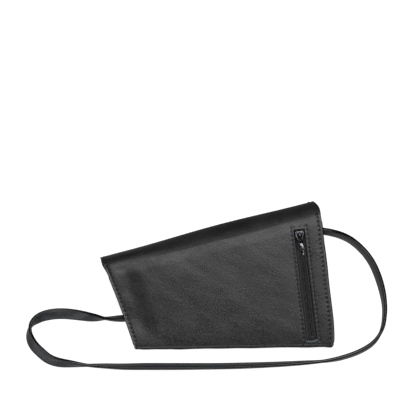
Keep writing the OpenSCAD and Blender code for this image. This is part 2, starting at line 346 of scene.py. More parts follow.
def turned(name: str, profile: Sequence[tuple[float, float]], centre: Array, around: int = 48,
           axis: Array = UP, across: Array | None = None) -> Piece:
    """Turns a profile about an axis, as on a lathe.

    Args:
        name: The piece's name.
        profile: Radius and height pairs from the bottom up the outside; its ends are closed.
        centre: Point on the axis at height 0.
        around: Faces round the axis.
        axis: Direction of the axis.
        across: A direction square to the axis.

    Returns:
        The new object.
    """
    first = unit(across if across is not None else np.array([1.0, 0.0, 0.0]))
    second = np.cross(axis, first)
    angle = np.linspace(0, 2 * math.pi, around, endpoint=False)[:, None]
    circle = np.cos(angle) * first + np.sin(angle) * second
    rings = [centre + r * circle + z * np.asarray(axis) for r, z in profile]
    return closed_loft(name, rings, sharp=35)


def joined(name: str, parts: Sequence[Piece]) -> Piece:
    """Joins objects into the first one and renames it."""
    bpy.ops.object.select_all(action="DESELECT")
    for part in parts:
        part.select_set(True)
    bpy.context.view_layer.objects.active = parts[0]
    bpy.ops.object.join()
    parts[0].name = name
    parts[0].data.name = name
    return parts[0]


# ---------------------------------------------------------------- node trees


@dataclass
class Graph:
    """A small helper that adds nodes to one shader or geometry tree."""

    tree: Tree

    def add(self, kind: str, inputs: dict[Any, Any] | None = None, **settings: Any) -> bpy.types.Node:
        """Adds a node.

        Args:
            kind: The node's type name.
            inputs: Values or other nodes' outputs, by input name or number.
            **settings: The node's own properties.

        Returns:
            The new node.
        """
        node = self.tree.nodes.new(kind)
        for key, value in settings.items():
            setattr(node, key, value)
        for key, value in (inputs or {}).items():
            if isinstance(value, Socket):
                self.tree.links.new(value, node.inputs[key])
            else:
                node.inputs[key].default_value = value
        return node

    def math(self, how: str, a: Any, b: Any = 0.0) -> Socket:
        """One Math node's result."""
        return self.add("ShaderNodeMath", {0: a, 1: b}, operation=how).outputs[0]

    def mix(self, share: Any, a: Any, b: Any) -> Socket:
        """Two colours mixed by a share of the second."""
        return self.add("ShaderNodeMix", {0: share, 6: a, 7: b}, data_type="RGBA").outputs[2]

    def ramp(self, value: Any, low: float, high: float, start: float = 0.0,
             end: float = 1.0) -> Socket:
        """A value taken from low..high to start..end, smoothly and clamped."""
        inputs = {"Value": value, "From Min": low, "From Max": high, "To Min": start, "To Max": end}
        return self.add("ShaderNodeMapRange", inputs, interpolation_type="SMOOTHSTEP").outputs[0]

    def socket(self, name: str, kind: str = "Float", value: Any = None, out: bool = False) -> None:
        """Gives the tree's interface a named socket."""
        made = self.tree.interface.new_socket(name, in_out="OUTPUT" if out else "INPUT",
                                              socket_type="NodeSocket" + kind)
        if value is not None:
            made.default_value = value


def shader_group(name: str, inputs: dict[str, tuple[str, Any]], outputs: Sequence[str],
                 fill: Callable[[Graph, bpy.types.Node], dict[str, Any]]) -> Tree:
    """Builds a shader node group once.

    Args:
        name: The group's name.
        inputs: Kind and default of each input, by name.
        outputs: Names of its outputs, all values.
        fill: Adds the nodes and returns the socket for each output.

    Returns:
        The group's tree.
    """
    if name in bpy.data.node_groups:
        return bpy.data.node_groups[name]
    graph = Graph(bpy.data.node_groups.new(name, "ShaderNodeTree"))
    for key, (kind, value) in inputs.items():
        graph.socket(key, kind, value)
    for key in outputs:
        graph.socket(key, out=True)
    graph.add("NodeGroupOutput", fill(graph, graph.add("NodeGroupInput")))
    return graph.tree


def pebble_grain() -> Tree:
    """Fine pebbled grain with soft creases, as on chrome-tanned hide."""

    def fill(g: Graph, given: bpy.types.Node) -> dict[str, Any]:
        """Adds the grain's nodes."""
        place, pebble, crease = (given.outputs[k] for k in ("Vector", "Pebbles", "Creases"))
        warp = g.add("ShaderNodeTexNoise", {"Vector": place, "Scale": 260.0, "Detail": 2.0})
        pushed = g.add("ShaderNodeVectorMath", {0: warp.outputs["Color"], 3: 0.0014}, operation="SCALE")
        moved = g.add("ShaderNodeVectorMath", {0: place, 1: pushed.outputs[0]}, operation="ADD").outputs[0]
        flat = g.add("ShaderNodeVectorMath", {0: moved, 1: (0.6, 1.0, 1.0)}, operation="MULTIPLY").outputs[0]
        cells = g.add("ShaderNodeTexVoronoi", {"Vector": flat, "Scale": pebble}, feature="DISTANCE_TO_EDGE")
        tops = g.ramp(cells.outputs["Distance"], 0.0, 0.35)
        folds = g.add("ShaderNodeTexVoronoi", {"Vector": flat, "Scale": crease}, feature="DISTANCE_TO_EDGE")
        lines = g.ramp(folds.outputs["Distance"], 0.0, 0.16)
        cloud = g.add("ShaderNodeTexNoise", {"Vector": place, "Scale": 90.0, "Detail": 4.0, "Roughness": 0.6})
        soft = cloud.outputs["Fac"]
        depth = g.math("MULTIPLY", g.ramp(soft, 0.45, 0.65), 0.22)
        height = g.math("ADD", g.math("MULTIPLY", tops, 0.5), g.math("MULTIPLY", lines, depth))
        return {"Height": g.math("ADD", height, g.math("MULTIPLY", soft, 0.25)), "Tops": tops, "Cloud": soft}

    return shader_group("pebble_grain", {"Vector": ("Vector", None), "Pebbles": ("Float", 1000.0),
                                         "Creases": ("Float", 240.0)}, ["Height", "Tops", "Cloud"], fill)


def plain_weave() -> Tree:
    """Threads crossing over and under, for tapes and pocket cloth."""

    def fill(g: Graph, given: bpy.types.Node) -> dict[str, Any]:
        """Adds the weave's nodes."""
        split = g.add("ShaderNodeSeparateXYZ", {0: given.outputs["Vector"]})
        waves = []
        for axis in ("X", "Y"):
            turns = g.math("MULTIPLY", split.outputs[axis], given.outputs["Threads"])
            waves.append(g.math("MULTIPLY", turns, 2 * math.pi))
        over = g.math("MULTIPLY", g.math("SINE", waves[0]), g.math("SINE", waves[1]))
        along = g.math("ABSOLUTE", g.math("SINE", g.math("MULTIPLY", waves[0], 0.5)))
        fuzz = g.add("ShaderNodeTexNoise", {"Vector": given.outputs["Vector"], "Scale": 2500.0,
                                            "Detail": 3.0})
        height = g.math("ADD", g.math("MULTIPLY", over, 0.35), g.math("MULTIPLY", along, 0.4))
        height = g.math("ADD", height, g.math("MULTIPLY", fuzz.outputs["Fac"], 0.35))
        return {"Height": height, "Over": g.ramp(over, -0.6, 0.8)}

    return shader_group("plain_weave", {"Vector": ("Vector", None), "Threads": ("Float", 1500.0)},
                        ["Height", "Over"], fill)


def soft_marks() -> Tree:
    """Cloudy handling marks that vary a finish's gloss."""

    def fill(g: Graph, given: bpy.types.Node) -> dict[str, Any]:
        """Adds the marks' nodes."""
        place, scale = given.outputs["Vector"], given.outputs["Scale"]
        cloud = g.add("ShaderNodeTexNoise", {"Vector": place, "Scale": scale, "Detail": 5.0,
                                             "Roughness": 0.62})
        scratch = g.add("ShaderNodeTexNoise", {"Vector": place, "Scale": g.math("MULTIPLY", scale, 9.0),
                                               "Detail": 2.0, "Distortion": 1.5})
        both = g.math("ADD", g.math("MULTIPLY", cloud.outputs["Fac"], 0.7),
                      g.math("MULTIPLY", scratch.outputs["Fac"], 0.3))
        return {"Mask": g.ramp(both, 0.35, 0.65)}

    return shader_group("soft_marks", {"Vector": ("Vector", None), "Scale": ("Float", 60.0)}, ["Mask"], fill)


# ---------------------------------------------------------------- finishes


def grey(level: float, tint: Sequence[float] = (1.0, 1.0, 1.0)) -> tuple[float, float, float, float]:
    """An opaque colour from a linear grey level and a tint."""
    return (level * tint[0], level * tint[1], level * tint[2], 1.0)


@dataclass(frozen=True)
class Finish:
    """What every finish has: a name and the way to its Principled shader."""

    name: str

    def start(self) -> tuple[Material, Graph, bpy.types.Node]:
        """Makes an empty material with a Principled shader.

        Returns:
            The material, its graph and its shader.
        """
        material = bpy.data.materials.new(self.name)
        material.use_nodes = True
        graph = Graph(material.node_tree)
        shader = next(n for n in graph.tree.nodes if n.type == "BSDF_PRINCIPLED")
        return material, graph, shader

    def group(self, graph: Graph, tree: Tree, inputs: dict[str, Any]) -> bpy.types.Node:
        """Places a node group in the material with its own values."""
        node = graph.add("ShaderNodeGroup", node_tree=tree)
        for key, value in inputs.items():
            if isinstance(value, Socket):
                graph.tree.links.new(value, node.inputs[key])
            else:
                node.inputs[key].default_value = value
        return node

    def marks(self, graph: Graph, place: Socket, scale: float) -> Socket:
        """The mask of the handling marks at a scale."""
        return self.group(graph, soft_marks(), {"Vector": place, "Scale": scale}).outputs["Mask"]

    def relief(self, graph: Graph, height: Socket, depth: float,
               strength: float = 1.0) -> Socket:
        """The normal of a raised pattern."""
        inputs = {"Strength": strength, "Distance": depth, "Height": height}
        return graph.add("ShaderNodeBump", inputs).outputs[0]

    def feed(self, graph: Graph, shader: bpy.types.Node, **sockets: Any) -> None:
        """Links sockets to the shader's inputs, where an underscore stands for a space."""
        for key, value in sockets.items():
            graph.tree.links.new(value, shader.inputs[key.replace("_", " ")])


@dataclass(frozen=True)
class LeatherFinish(Finish):
    """Dyed and lightly polished hide, with its own cut edge and flesh side."""

    level: float = 0.011
    tint: tuple[float, float, float] = (1.0, 1.0, 1.04)
    edge_level: float = 0.13
    flesh_level: float = 0.03
    rough: float = 0.38
    pebbles: float = 900.0
    creases: float = 400.0
    depth: float = 0.085 * MM
    specular: float = 0.5

    def build(self) -> Material:
        """Makes the material."""
        material, g, shader = self.start()
        uv = g.add("ShaderNodeUVMap", uv_map="surface").outputs[0]
        grain = self.group(g, pebble_grain(), {"Vector": uv, "Pebbles": self.pebbles,
                                               "Creases": self.creases})
        marks = self.marks(g, uv, 45.0)
        edge = g.add("ShaderNodeAttribute", attribute_name="cut_edge").outputs["Fac"]
        inner = g.add("ShaderNodeAttribute", attribute_name="inner_face").outputs["Fac"]
        # The grain's grooves between the pebbles are painted darker than their tops: painted shade in the
        # grooves.
        surface_colour = g.mix(grain.outputs["Tops"], grey(self.level * 0.72, self.tint), grey(self.level, self.tint))
        surface_colour = g.mix(marks, surface_colour, grey(self.level * 1.25, self.tint))
        surface_colour = g.mix(g.ramp(inner, 0.55, 0.95), surface_colour, grey(self.flesh_level, (1.0, 0.97, 0.92)))
        surface_colour = g.mix(g.ramp(edge, 0.05, 0.9), surface_colour, grey(self.edge_level, (1.0, 0.98, 0.96)))
        gloss = g.ramp(marks, 0.0, 1.0, self.rough - 0.05, self.rough + 0.06)
        gloss = g.math("ADD", gloss, g.math("MULTIPLY", g.ramp(inner, 0.55, 0.95), 0.3))
        normal = self.relief(g, grain.outputs["Height"], self.depth)
        self.feed(g, shader, Base_Color=surface_colour, Roughness=gloss, Normal=normal)
        shader.inputs["Specular IOR Level"].default_value = self.specular
        return material


@dataclass(frozen=True)
class StrapFinish(Finish):
    """The strap's hide: a plain face with dark painted edges."""

    level: float = 0.026
    tint: tuple[float, float, float] = (0.93, 0.99, 1.1)
    edge_level: float = 0.002
    rough: float = 0.42
    edge_rough: float = 0.24
    depth: float = 0.05 * MM
    specular: float = 0.42

    def build(self) -> Material:
        """Makes the material."""
        material, g, shader = self.start()
        uv = g.add("ShaderNodeUVMap", uv_map="surface").outputs[0]
        grain = self.group(g, pebble_grain(), {"Vector": uv, "Pebbles": 1300.0, "Creases": 330.0})
        marks = self.marks(g, uv, 120.0)
        edge = g.add("ShaderNodeAttribute", attribute_name="painted_edge").outputs["Fac"]
        painted = g.ramp(edge, 0.3, 0.75)
        surface_colour = g.mix(marks, grey(self.level * 0.85, self.tint), grey(self.level * 1.15, self.tint))
        surface_colour = g.mix(painted, surface_colour, grey(self.edge_level))
        gloss = g.ramp(marks, 0.0, 1.0, self.rough - 0.04, self.rough + 0.05)
        gloss = g.math("SUBTRACT", gloss, g.math("MULTIPLY", painted, self.rough - self.edge_rough))
        height = g.math("MULTIPLY", grain.outputs["Height"], g.math("SUBTRACT", 1.0, painted))
        self.feed(g, shader, Base_Color=surface_colour, Roughness=gloss, Normal=self.relief(g, height, self.depth))
        shader.inputs["Specular IOR Level"].default_value = self.specular
        return material


@dataclass(frozen=True)
class ClothFinish(Finish):
    """Woven cloth or tape."""

    level: float = 0.02
    tint: tuple[float, float, float] = (1.0, 1.0, 1.0)
    threads: float = 1500.0
    rough: float = 0.8
    depth: float = 0.12 * MM

    def build(self) -> Material:
        """Makes the material."""
        material, g, shader = self.start()
        uv = g.add("ShaderNodeUVMap", uv_map="surface").outputs[0]
        weave = self.group(g, plain_weave(), {"Vector": uv, "Threads": self.threads})
        marks = g.math("MULTIPLY", self.marks(g, uv, 80.0), 0.3)
        over = weave.outputs["Over"]
        # Threads that pass over are painted lighter and those passing under darker: painted highlight and
        # painted shade following the weave's relief.
        surface_colour = g.mix(over, grey(self.level * 0.6, self.tint), grey(self.level * 1.3, self.tint))
        surface_colour = g.mix(marks, surface_colour, grey(self.level * 1.5, self.tint))
        self.feed(g, shader, Base_Color=surface_colour, Normal=self.relief(g, weave.outputs["Height"], self.depth))
        shader.inputs["Roughness"].default_value = self.rough
        shader.inputs["Sheen Weight"].default_value = 0.15
        return material


@dataclass(frozen=True)
class ThreadFinish(Finish):
    """Twisted polyester thread, or nylon coil with more gloss."""

    level: float = 0.012
    rough: float = 0.5
    twist: float = 2200.0

    def build(self) -> Material:
        """Makes the material."""
        material, g, shader = self.start()
        place = g.add("ShaderNodeTexCoord").outputs["Object"]
        marks = g.math("MULTIPLY", self.marks(g, place, 300.0), 0.4)
        ply = g.add("ShaderNodeTexWave", {"Vector": place, "Scale": self.twist / 6.28, "Distortion": 0.6},
                    wave_type="BANDS", bands_direction="DIAGONAL")
        # The ply's bands are painted lighter and darker along the twist: painted highlight and painted shade
        # following the twist's relief.
        surface_colour = g.mix(ply.outputs["Fac"], grey(self.level * 0.6), grey(self.level * 1.4))
        surface_colour = g.mix(marks, surface_colour, grey(self.level * 1.8))
        normal = self.relief(g, ply.outputs["Fac"], 0.05 * MM, 0.6)
        self.feed(g, shader, Base_Color=surface_colour, Normal=normal)
        shader.inputs["Roughness"].default_value = self.rough
        return material


@dataclass(frozen=True)
class MetalFinish(Finish):
    """Plated metal with faint handling marks."""

    level: float = 0.1
    tint: tuple[float, float, float] = (0.97, 0.98, 1.05)
    rough: float = 0.2

    def build(self) -> Material:
        """Makes the material."""
        material, g, shader = self.start()
        place = g.add("ShaderNodeTexCoord").outputs["Object"]
        marks = self.marks(g, place, 350.0)
        plated = g.mix(marks, grey(self.level * 0.85, self.tint), grey(self.level * 1.15, self.tint))
        gloss = g.ramp(marks, 0.0, 1.0, self.rough - 0.05, self.rough + 0.08)
        normal = self.relief(g, marks, 0.01 * MM, 0.2)
        self.feed(g, shader, Base_Color=plated, Roughness=gloss, Normal=normal)
        shader.inputs["Metallic"].default_value = 1.0
        return material


@dataclass(frozen=True)
class FloorFinish(Finish):
    """Plain pale paper, which is white to the camera and keeps the shadow."""

    level: float = 0.5
    glow: float = 0.86

    def build(self) -> Material:
        """Makes the material."""
        material, g, shader = self.start()
        place = g.add("ShaderNodeTexCoord").outputs["Object"]
        fibre = g.add("ShaderNodeTexNoise", {"Vector": place, "Scale": 40.0, "Detail": 3.0})
        paper = g.mix(fibre.outputs["Fac"], grey(self.level), grey(self.level * 1.02))
        rays = g.add("ShaderNodeLightPath").outputs
        seen = g.math("MAXIMUM", rays["Is Camera Ray"], rays["Is Transmission Ray"])
        seen = g.math("MAXIMUM", seen, g.math("MULTIPLY", rays["Is Glossy Ray"], 0.2))
        self.feed(g, shader, Base_Color=paper, Emission_Color=g.mix(seen, grey(0.0), grey(self.glow)))
        shader.inputs["Emission Strength"].default_value = 1.0
        shader.inputs["Roughness"].default_value = 0.9
        shader.inputs["Specular IOR Level"].default_value = 0.1
        return material


@dataclass
class Palette:
    """Every finish on the pouch, made once."""

    hide: Material = field(default_factory=LeatherFinish("hide_leather").build)
    gusset: Material = field(
        default_factory=LeatherFinish("gusset_leather", level=0.006, edge_level=0.006, rough=0.6).build)
    strap: Material = field(default_factory=StrapFinish("strap_leather").build)
    lining: Material = field(default_factory=ClothFinish("lining_cloth", level=0.018).build)
    tape: Material = field(
        default_factory=ClothFinish("tape_cloth", level=0.026, threads=1100.0, rough=0.7).build)
    coil: Material = field(default_factory=ThreadFinish("coil_nylon", level=0.05, rough=0.36).build)
    thread: Material = field(
        default_factory=ThreadFinish("seam_thread", level=0.004, rough=0.45).build)
    nickel: Material = field(
        default_factory=MetalFinish("black_nickel", level=0.06, rough=0.17).build)
    # The slider's flanks, the pull's tab plate and its round end get a brighter plating: a painted highlight.
    worn: Material = field(default_factory=MetalFinish("worn_nickel", level=0.2, rough=0.24).build)
    # A pale teal bar at the slot's bottom end: a painted highlight.
    pale: Material = field(
        default_factory=ClothFinish("lining_edge", level=0.17, tint=(0.72, 1.0, 1.02), threads=1100.0).build)
    blackened: Material = field(
        default_factory=MetalFinish("blackened", level=0.03, rough=0.45).build)
    steel: Material = field(default_factory=MetalFinish("stud_steel", level=0.5, rough=0.25).build)


def dress(piece: Piece, finish: Material, slot: str, body: str | None,
          nodes: Sequence[str] = ()) -> Piece:
    """Gives a piece its material and body, hides the CAD nodes it stands for and logs its slot.

    Args:
        piece: The finished mesh.
        finish: Its material.
        slot: The record's material slot, which is only logged.
        body: The CAD body it rides on, or None for a piece whose maker only bakes it in place.
        nodes: CAD nodes that it replaces.

    Returns:
        The same piece.
    """
    if not piece.data.materials:
        piece.data.materials.append(finish)
    if body:
        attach(piece, body)
    if nodes:
        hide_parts(*nodes)
    LOG.info("%s: %d faces, slot %s", piece.name, len(piece.data.polygons), slot)
    return piece


# ---------------------------------------------------------------- the pouch's shared surfaces


def joint(name: str) -> dict[str, Any]:
    """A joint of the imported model, by name."""
    return next(j for j in frame["joints"] if j["name"] == name)


def far_corner(node: str, heading: Sequence[float]) -> Array:
    """The point of a CAD node that lies furthest along a direction in plan."""
    mesh = frame["nodes"][node].data
    points = np.array([v.co for v in mesh.vertices], float)
    return points[np.argmax(points[:, :2] @ np.asarray(heading, float))]


@dataclass
class PouchPlan:
    """The pouch's outline, its fold and the outer face of its hide, worked out from the frame."""

    hide_t: float = 1.4 * MM
    edge_step: float = 0.8 * MM
    roll_run: float = 6.5 * MM
    roll_l: float = 19 * MM
    roll_arc: float = 16 * MM
    top_bow: float = 1.25 * MM
    # n and t of the two long sides, in millimetres, from the bottom to the top of the fold
    left_side: tuple[tuple[float, float], ...] = (
        (-69.0, 6.4), (-62.5, 6.05), (-53.0, 5.5), (-43.3, 4.7), (-33.7, 3.85), (-24.0, 2.95), (-14.2, 1.75),
        (-8.5, 1.0), (-4.4, 0.3), (-1.0, -0.5), (2.5, -1.15), (6.0, -1.3), (10.5, -1.0))
    right_side: tuple[tuple[float, float], ...] = (
        (-106.0, 153.1), (-101.0, 154.4), (-94.1, 156.2), (-85.3, 158.1), (-76.2, 159.5), (-67.0, 160.7),
        (-57.9, 161.9), (-48.8, 163.3), (-39.8, 164.7), (-30.8, 165.9), (-21.6, 167.0), (-12.0, 168.6),
        (-3.6, 169.7), (1.5, 169.9), (4.5, 169.4), (6.8, 168.4), (8.6, 167.0), (10.5, 164.8))
    bottom_round: float = 3.6 * MM
    window_half: float = 4.4 * MM
    window_l: float = 85 * MM
    cut_round: float = 1.0 * MM
    pitch: float = 3.4 * MM
    left_seam: float = 2.7 * MM
    right_seam: float = 3.5 * MM
    window_seam: float = 1.6 * MM
    # the low side of a soft step in the hide, from the roll's left end down to the bottom
    step_path: tuple[tuple[float, float], ...] = (
        (-110.0, 0.0), (-80.0, 4.0), (-67.5, 3.2), (-61.5, -4.5), (-58.0, -13.0), (-56.0, -22.5),
        (-53.6, -31.0), (-51.0, -41.0), (-49.5, -52.0), (-49.0, -75.0))

    def __post_init__(self) -> None:
        """Reads the fold, the zip and the corners from the frame."""
        hinge, slide, bar = joint("flap_hinge"), joint("zip_slide"), joint("pull_hinge")
        self.axis = np.array(hinge["pos_m"], float)
        self.fold_r = self.axis[2]
        self.along = unit(np.array([*hinge["axis"][:2], 0.0]))
        self.out = np.cross(UP, self.along)
        self.zip_down = unit(np.array(slide["axis"], float))
        self.lift = unit(np.cross(self.along, -self.zip_down))
        self.zip_across = np.cross(-self.zip_down, self.lift)
        bar_at = np.array(bar["pos_m"] if "pos_m" in bar else bar["pos"], float)
        self.zip_top = bar_at - 7.6 * MM * self.zip_down - 2.0 * MM * self.lift
        self.low_left = self.flat(far_corner("bottom_fold", (-0.2, -1.0)))
        self.low_right = self.flat(far_corner("bottom_fold", (1.0, -1.0)))
        self.top_right = self.flat(far_corner("right_gusset", (1.0, 1.0)))
        self.slope = -self.lift @ self.out / self.lift[2]

    def flat(self, point: Array) -> Array:
        """A point's t and n."""
        v = np.asarray(point, float) - self.axis
        return np.array([v[:2] @ self.along[:2], v[:2] @ self.out[:2]])

    def place(self, t: Any, n: Any, z: Any) -> Array:
        """Points in space from t, n and height."""
        t, n, z = np.broadcast_arrays(np.asarray(t, float), n, z)
        across = self.axis * [1, 1, 0] + t[..., None] * self.along + n[..., None] * self.out
        return across + z[..., None] * UP

    def zip_point(self, x: Any, down: Any, above: Any) -> Array:
        """Points in the zip's frame: across, down from the window's top, and above the leather."""
        x, down, above = np.broadcast_arrays(np.asarray(x, float), down, above)
        return (self.zip_top + x[..., None] * self.zip_across + down[..., None] * self.zip_down
                + above[..., None] * self.lift)

    def side_t(self, shape: Sequence[tuple[float, float]], n: Any) -> Array:
        """Where a side drawn through points stands at n."""
        path = along_path(np.array([[a, b, 0.0] for a, b in shape]) * MM, 0.5 * MM)
        return np.interp(np.asarray(n, float), path[:, 0], path[:, 1])

    def left_t(self, n: Any) -> Array:
        """Where the left edge stands at n."""
        return self.side_t(self.left_side, n)

    def right_t(self, n: Any) -> Array:
        """Where the right edge stands at n."""
        return self.side_t(self.right_side, n)

    def inset_t(self, side: Side, n: float, inset: float) -> float:
        """The t that lies inside a long side by an inset."""
        return float(self.left_t(n)) + inset if side is Side.LEFT else float(self.right_t(n)) - inset

    def bow(self, t: Any) -> Array:
        """How far the fold stands out beyond a straight line at t."""
        return self.top_bow * np.sin(math.pi * np.clip((np.asarray(t, float) / MM - 22) / 140, 0, 1)) ** 2

    def bottom_n(self, t: Any) -> Array:
        """Where the bottom edge stands at t."""
        (t0, n0), (t1, n1) = self.low_left, self.low_right
        return n0 + (np.asarray(t, float) - t0) * (n1 - n0) / (t1 - t0)

    def seam_start(self, side: Side) -> float:
        """The n at which a side's seam starts."""
        return float((self.low_left if side is Side.LEFT else self.low_right)[1]) + 3.2 * MM

    def sewn(self, off: Array, run: Array) -> Array:
        """How far a row of stitches pulls the hide down.

        Args:
            off: Distance from the row.
            run: Distance along it from its first stitch.

        Returns:
            The depths.
        """
        pull = 0.55 + 0.45 * np.cos(2 * math.pi * run / self.pitch)
        return (0.3 * MM * np.exp(-(off / (0.8 * MM)) ** 2) * pull
                + 0.12 * MM * np.exp(-(off / (2.2 * MM)) ** 2))

    def seam_dip(self, t: Array, n: Array) -> Array:
        """How far the sewn side edges press the hide down."""
        dip = np.zeros(np.broadcast(t, n).shape)
        for side, distance, seam in ((Side.LEFT, t - self.left_t(n), self.left_seam),
                                     (Side.RIGHT, self.right_t(n) - t, self.right_seam)):
            dip += 0.35 * MM * np.exp(-np.maximum(distance, 0) / (2.4 * MM))
            dip += self.sewn(distance - seam, n - self.seam_start(side))
        return dip

    def step_side(self, x: Array, y: Array) -> Array:
        """Signed distance from the soft step's path, above 0 on its high side."""
        path = along_path(np.array([[a, b, 0.0] for a, b in self.step_path]) * MM, 2 * MM)[:, :2]
        best, signed = np.full(x.shape, 9.0), np.full(x.shape, 9.0)
        for (ax, ay), (bx, by) in zip(path[:-1], path[1:]):
            way_x, way_y = bx - ax, by - ay
            share = np.clip(((x - ax) * way_x + (y - ay) * way_y) / (way_x ** 2 + way_y ** 2), 0, 1)
            off_x, off_y = x - ax - share * way_x, y - ay - share * way_y
            gap = np.hypot(off_x, off_y)
            near = gap < best
            side = np.where(way_x * off_y - way_y * off_x > 0, 1.0, -1.0)
            best = np.where(near, gap, best)
            signed = np.where(near, gap * side, signed)
        return signed

    def relief(self, t: Array, n: Array) -> Array:
        """How far the soft hide stands above the back panel's plane."""
        x = self.axis[0] + t * self.along[0] + n * self.out[0]
        y = self.axis[1] + t * self.along[1] + n * self.out[1]
        across = np.clip((t - self.left_t(n)) / (self.right_t(n) - self.left_t(n)), 0, 1)
        from_bottom = n - self.bottom_n(t)
        upwards = np.clip(from_bottom / -self.bottom_n(t), 0, 1)
        offset = (x - self.zip_top[0]) * self.zip_across[0] + (y - self.zip_top[1]) * self.zip_across[1]
        down = (x - self.zip_top[0]) * self.zip_down[0] + (y - self.zip_top[1]) * self.zip_down[1]
        away = smoothstep(np.abs(offset), 6 * MM, 18 * MM)
        crown = 0.7 * MM * np.sin(math.pi * across) ** 0.8 * np.sin(math.pi * upwards) ** 0.8
        droop = -1.1 * MM * np.exp(-from_bottom / (11 * MM))
        run = self.run_in(t)
        shoulder = 0.95 * MM - 0.3 * MM * smoothstep(t, 20 * MM, 90 * MM)
        near_fold = smoothstep(n, -8 * MM - run, 1.5 * MM - run)
        droop -= 0.2 * MM * smoothstep(n, -19 * MM, 3 * MM) + shoulder * near_fold
        high = self.step_side(x, y)
        low_end = smoothstep(from_bottom, 4 * MM, 26 * MM)
        deep = (0.9 + 0.6 * smoothstep(-y, -2 * MM, 14 * MM)) * smoothstep(x, -84 * MM, -66 * MM)
        step = deep * MM * (smoothstep(high, -7.5 * MM, 6.8 * MM) - 1) * low_end
        past_step = 1 - smoothstep(high, -3 * MM, 30 * MM)
        lean = -0.4 * MM * smoothstep(high, -26 * MM, -4 * MM) * past_step * low_end
        creases = 0.012 * MM * ripple(x, y, 5.0 * MM, 11, stretch=2.6, turn=-0.35)
        creases += 0.045 * MM * ripple(x, y, 15 * MM, 12, stretch=2.0, turn=-0.5)
        creases += 0.15 * MM * ripple(x, y, 42 * MM, 13, stretch=1.4, turn=0.2)
        edge_gap = np.minimum(t - self.left_t(n), self.right_t(n) - t)
        calm = smoothstep(edge_gap, 0.5 * MM, 7 * MM)
        beside = smoothstep(down, -4 * MM, 0) * smoothstep(self.window_l + 3 * MM - down, -1 * MM, 3 * MM)
        row = self.window_half + self.window_seam
        sewn = 0.85 * self.sewn(np.abs(offset) - row, down + 1.9 * MM) * beside
        return (crown * (0.25 + 0.75 * away) + droop + step + lean
                + creases * calm * (0.35 + 0.65 * away) - self.seam_dip(t, n) - sewn)

    def panel_z(self, t: Any, n: Any) -> Array:
        """Height of the hide's outer face on the back panel."""
        t, n = np.broadcast_arrays(np.asarray(t, float), np.asarray(n, float))
        return 2 * self.fold_r + n * self.slope + self.relief(t, n)

    def run_in(self, t: Any) -> Array:
        """How far before the fold's axis the hide starts to bend, which grows towards the peak."""
        return 1.2 * MM + 1.6 * MM * smoothstep(t, 10 * MM, 130 * MM)

    def roll_power(self, t: Any) -> Array:
        """How straight the roll falls before it turns under, which grows towards the peak."""
        return 1.31 + 0.29 * smoothstep(t, 10 * MM, 75 * MM)

    def roll(self, t: Any, m: Any) -> tuple[Array, Array]:
        """The n and the bend of the roll's upper quarter.

        Args:
            t: Places along the fold.
            m: Distance past the panel's last row, negative on the panel.

        Returns:
            The n, and the turn from 0 at the panel to a right angle at the fold's outermost line.
        """
        t, m = np.broadcast_arrays(np.asarray(t, float), np.asarray(m, float))
        run = self.run_in(t)
        level = self.roll_run - run
        share = level / (level + self.roll_arc)
        way = np.clip(m / self.roll_l, 0, 1)
        turn = math.pi / 2 * np.clip((way - share) / (1 - share), 0, 1)
        n = -self.roll_run + np.minimum(m, 0) + level * np.minimum(way / np.maximum(share, 1e-6), 1)
        return n + (self.fold_r + self.bow(t) + run) * np.sin(turn) ** self.roll_power(t), turn

    def hide(self, t: Any, m: Any) -> Array:
        """Points of the hide's outer face.

        Args:
            t: Places along the fold.
            m: Distance past the panel's last row; it is negative on the panel.

        Returns:
            The points.
        """
        n, turn = self.roll(t, m)
        flat_z = self.panel_z(t, n)
        z = self.fold_r + (flat_z - self.fold_r) * np.abs(np.cos(turn)) ** self.roll_power(t)
        return self.place(t, n, z)

    def roll_n(self, side: Side, m: Any) -> Array:
        """The n at a side's edge for a distance past the panel's last row."""
        edge = self.left_t if side is Side.LEFT else self.right_t
        return self.roll(edge(self.roll(edge(0.0), m)[0]), m)[0]


# ---------------------------------------------------------------- stitches and other repeats


def spots_on_line(g: Graph, given: Any) -> tuple[Any, Socket]:
    """Adds the nodes that find evenly spaced spots on a line and face them out of the surface.

    Args:
        g: The tree's graph.
        given: The tree's inputs, with Geometry and Pitch.

    Returns:
        The spots' outputs and their rotation.
    """
    line = g.add("GeometryNodeMeshToCurve", {"Mesh": given["Geometry"]}).outputs[0]
    dots = g.add("GeometryNodeCurveToPoints", {"Curve": line, "Length": given["Pitch"]},
                 mode="LENGTH").outputs
    normal = g.add("GeometryNodeInputNamedAttribute", {"Name": "face_normal"},
                   data_type="FLOAT_VECTOR").outputs[0]
    faced = g.add("FunctionNodeAlignRotationToVector", {"Vector": dots["Tangent"]}, axis="X").outputs[0]
    faced = g.add("FunctionNodeAlignRotationToVector", {"Rotation": faced, "Vector": normal}, axis="Z",
                  pivot_axis="X").outputs[0]
    return dots, faced


def lay_copies(g: Graph, given: Any, dots: Any, shape: Socket,
               rotation: Socket) -> None:
    """Adds the nodes that lay a shape on every spot, as real smooth geometry with its finish.

    Args:
        g: The tree's graph.
        given: The tree's inputs, with Finish.
        dots: The spots' outputs.
        shape: The geometry to lay.
        rotation: How each copy is turned.
    """
    laid = g.add("GeometryNodeInstanceOnPoints", {"Points": dots["Points"], "Instance": shape,
                                                  "Rotation": rotation}).outputs[0]
    real = g.add("GeometryNodeRealizeInstances", {"Geometry": laid}).outputs[0]
    smooth = g.add("GeometryNodeSetShadeSmooth", {"Geometry": real}).outputs[0]
    done = g.add("GeometryNodeSetMaterial", {"Geometry": smooth, "Material": given["Finish"]}).outputs[0]
    g.add("NodeGroupOutput", {"Geometry": done})


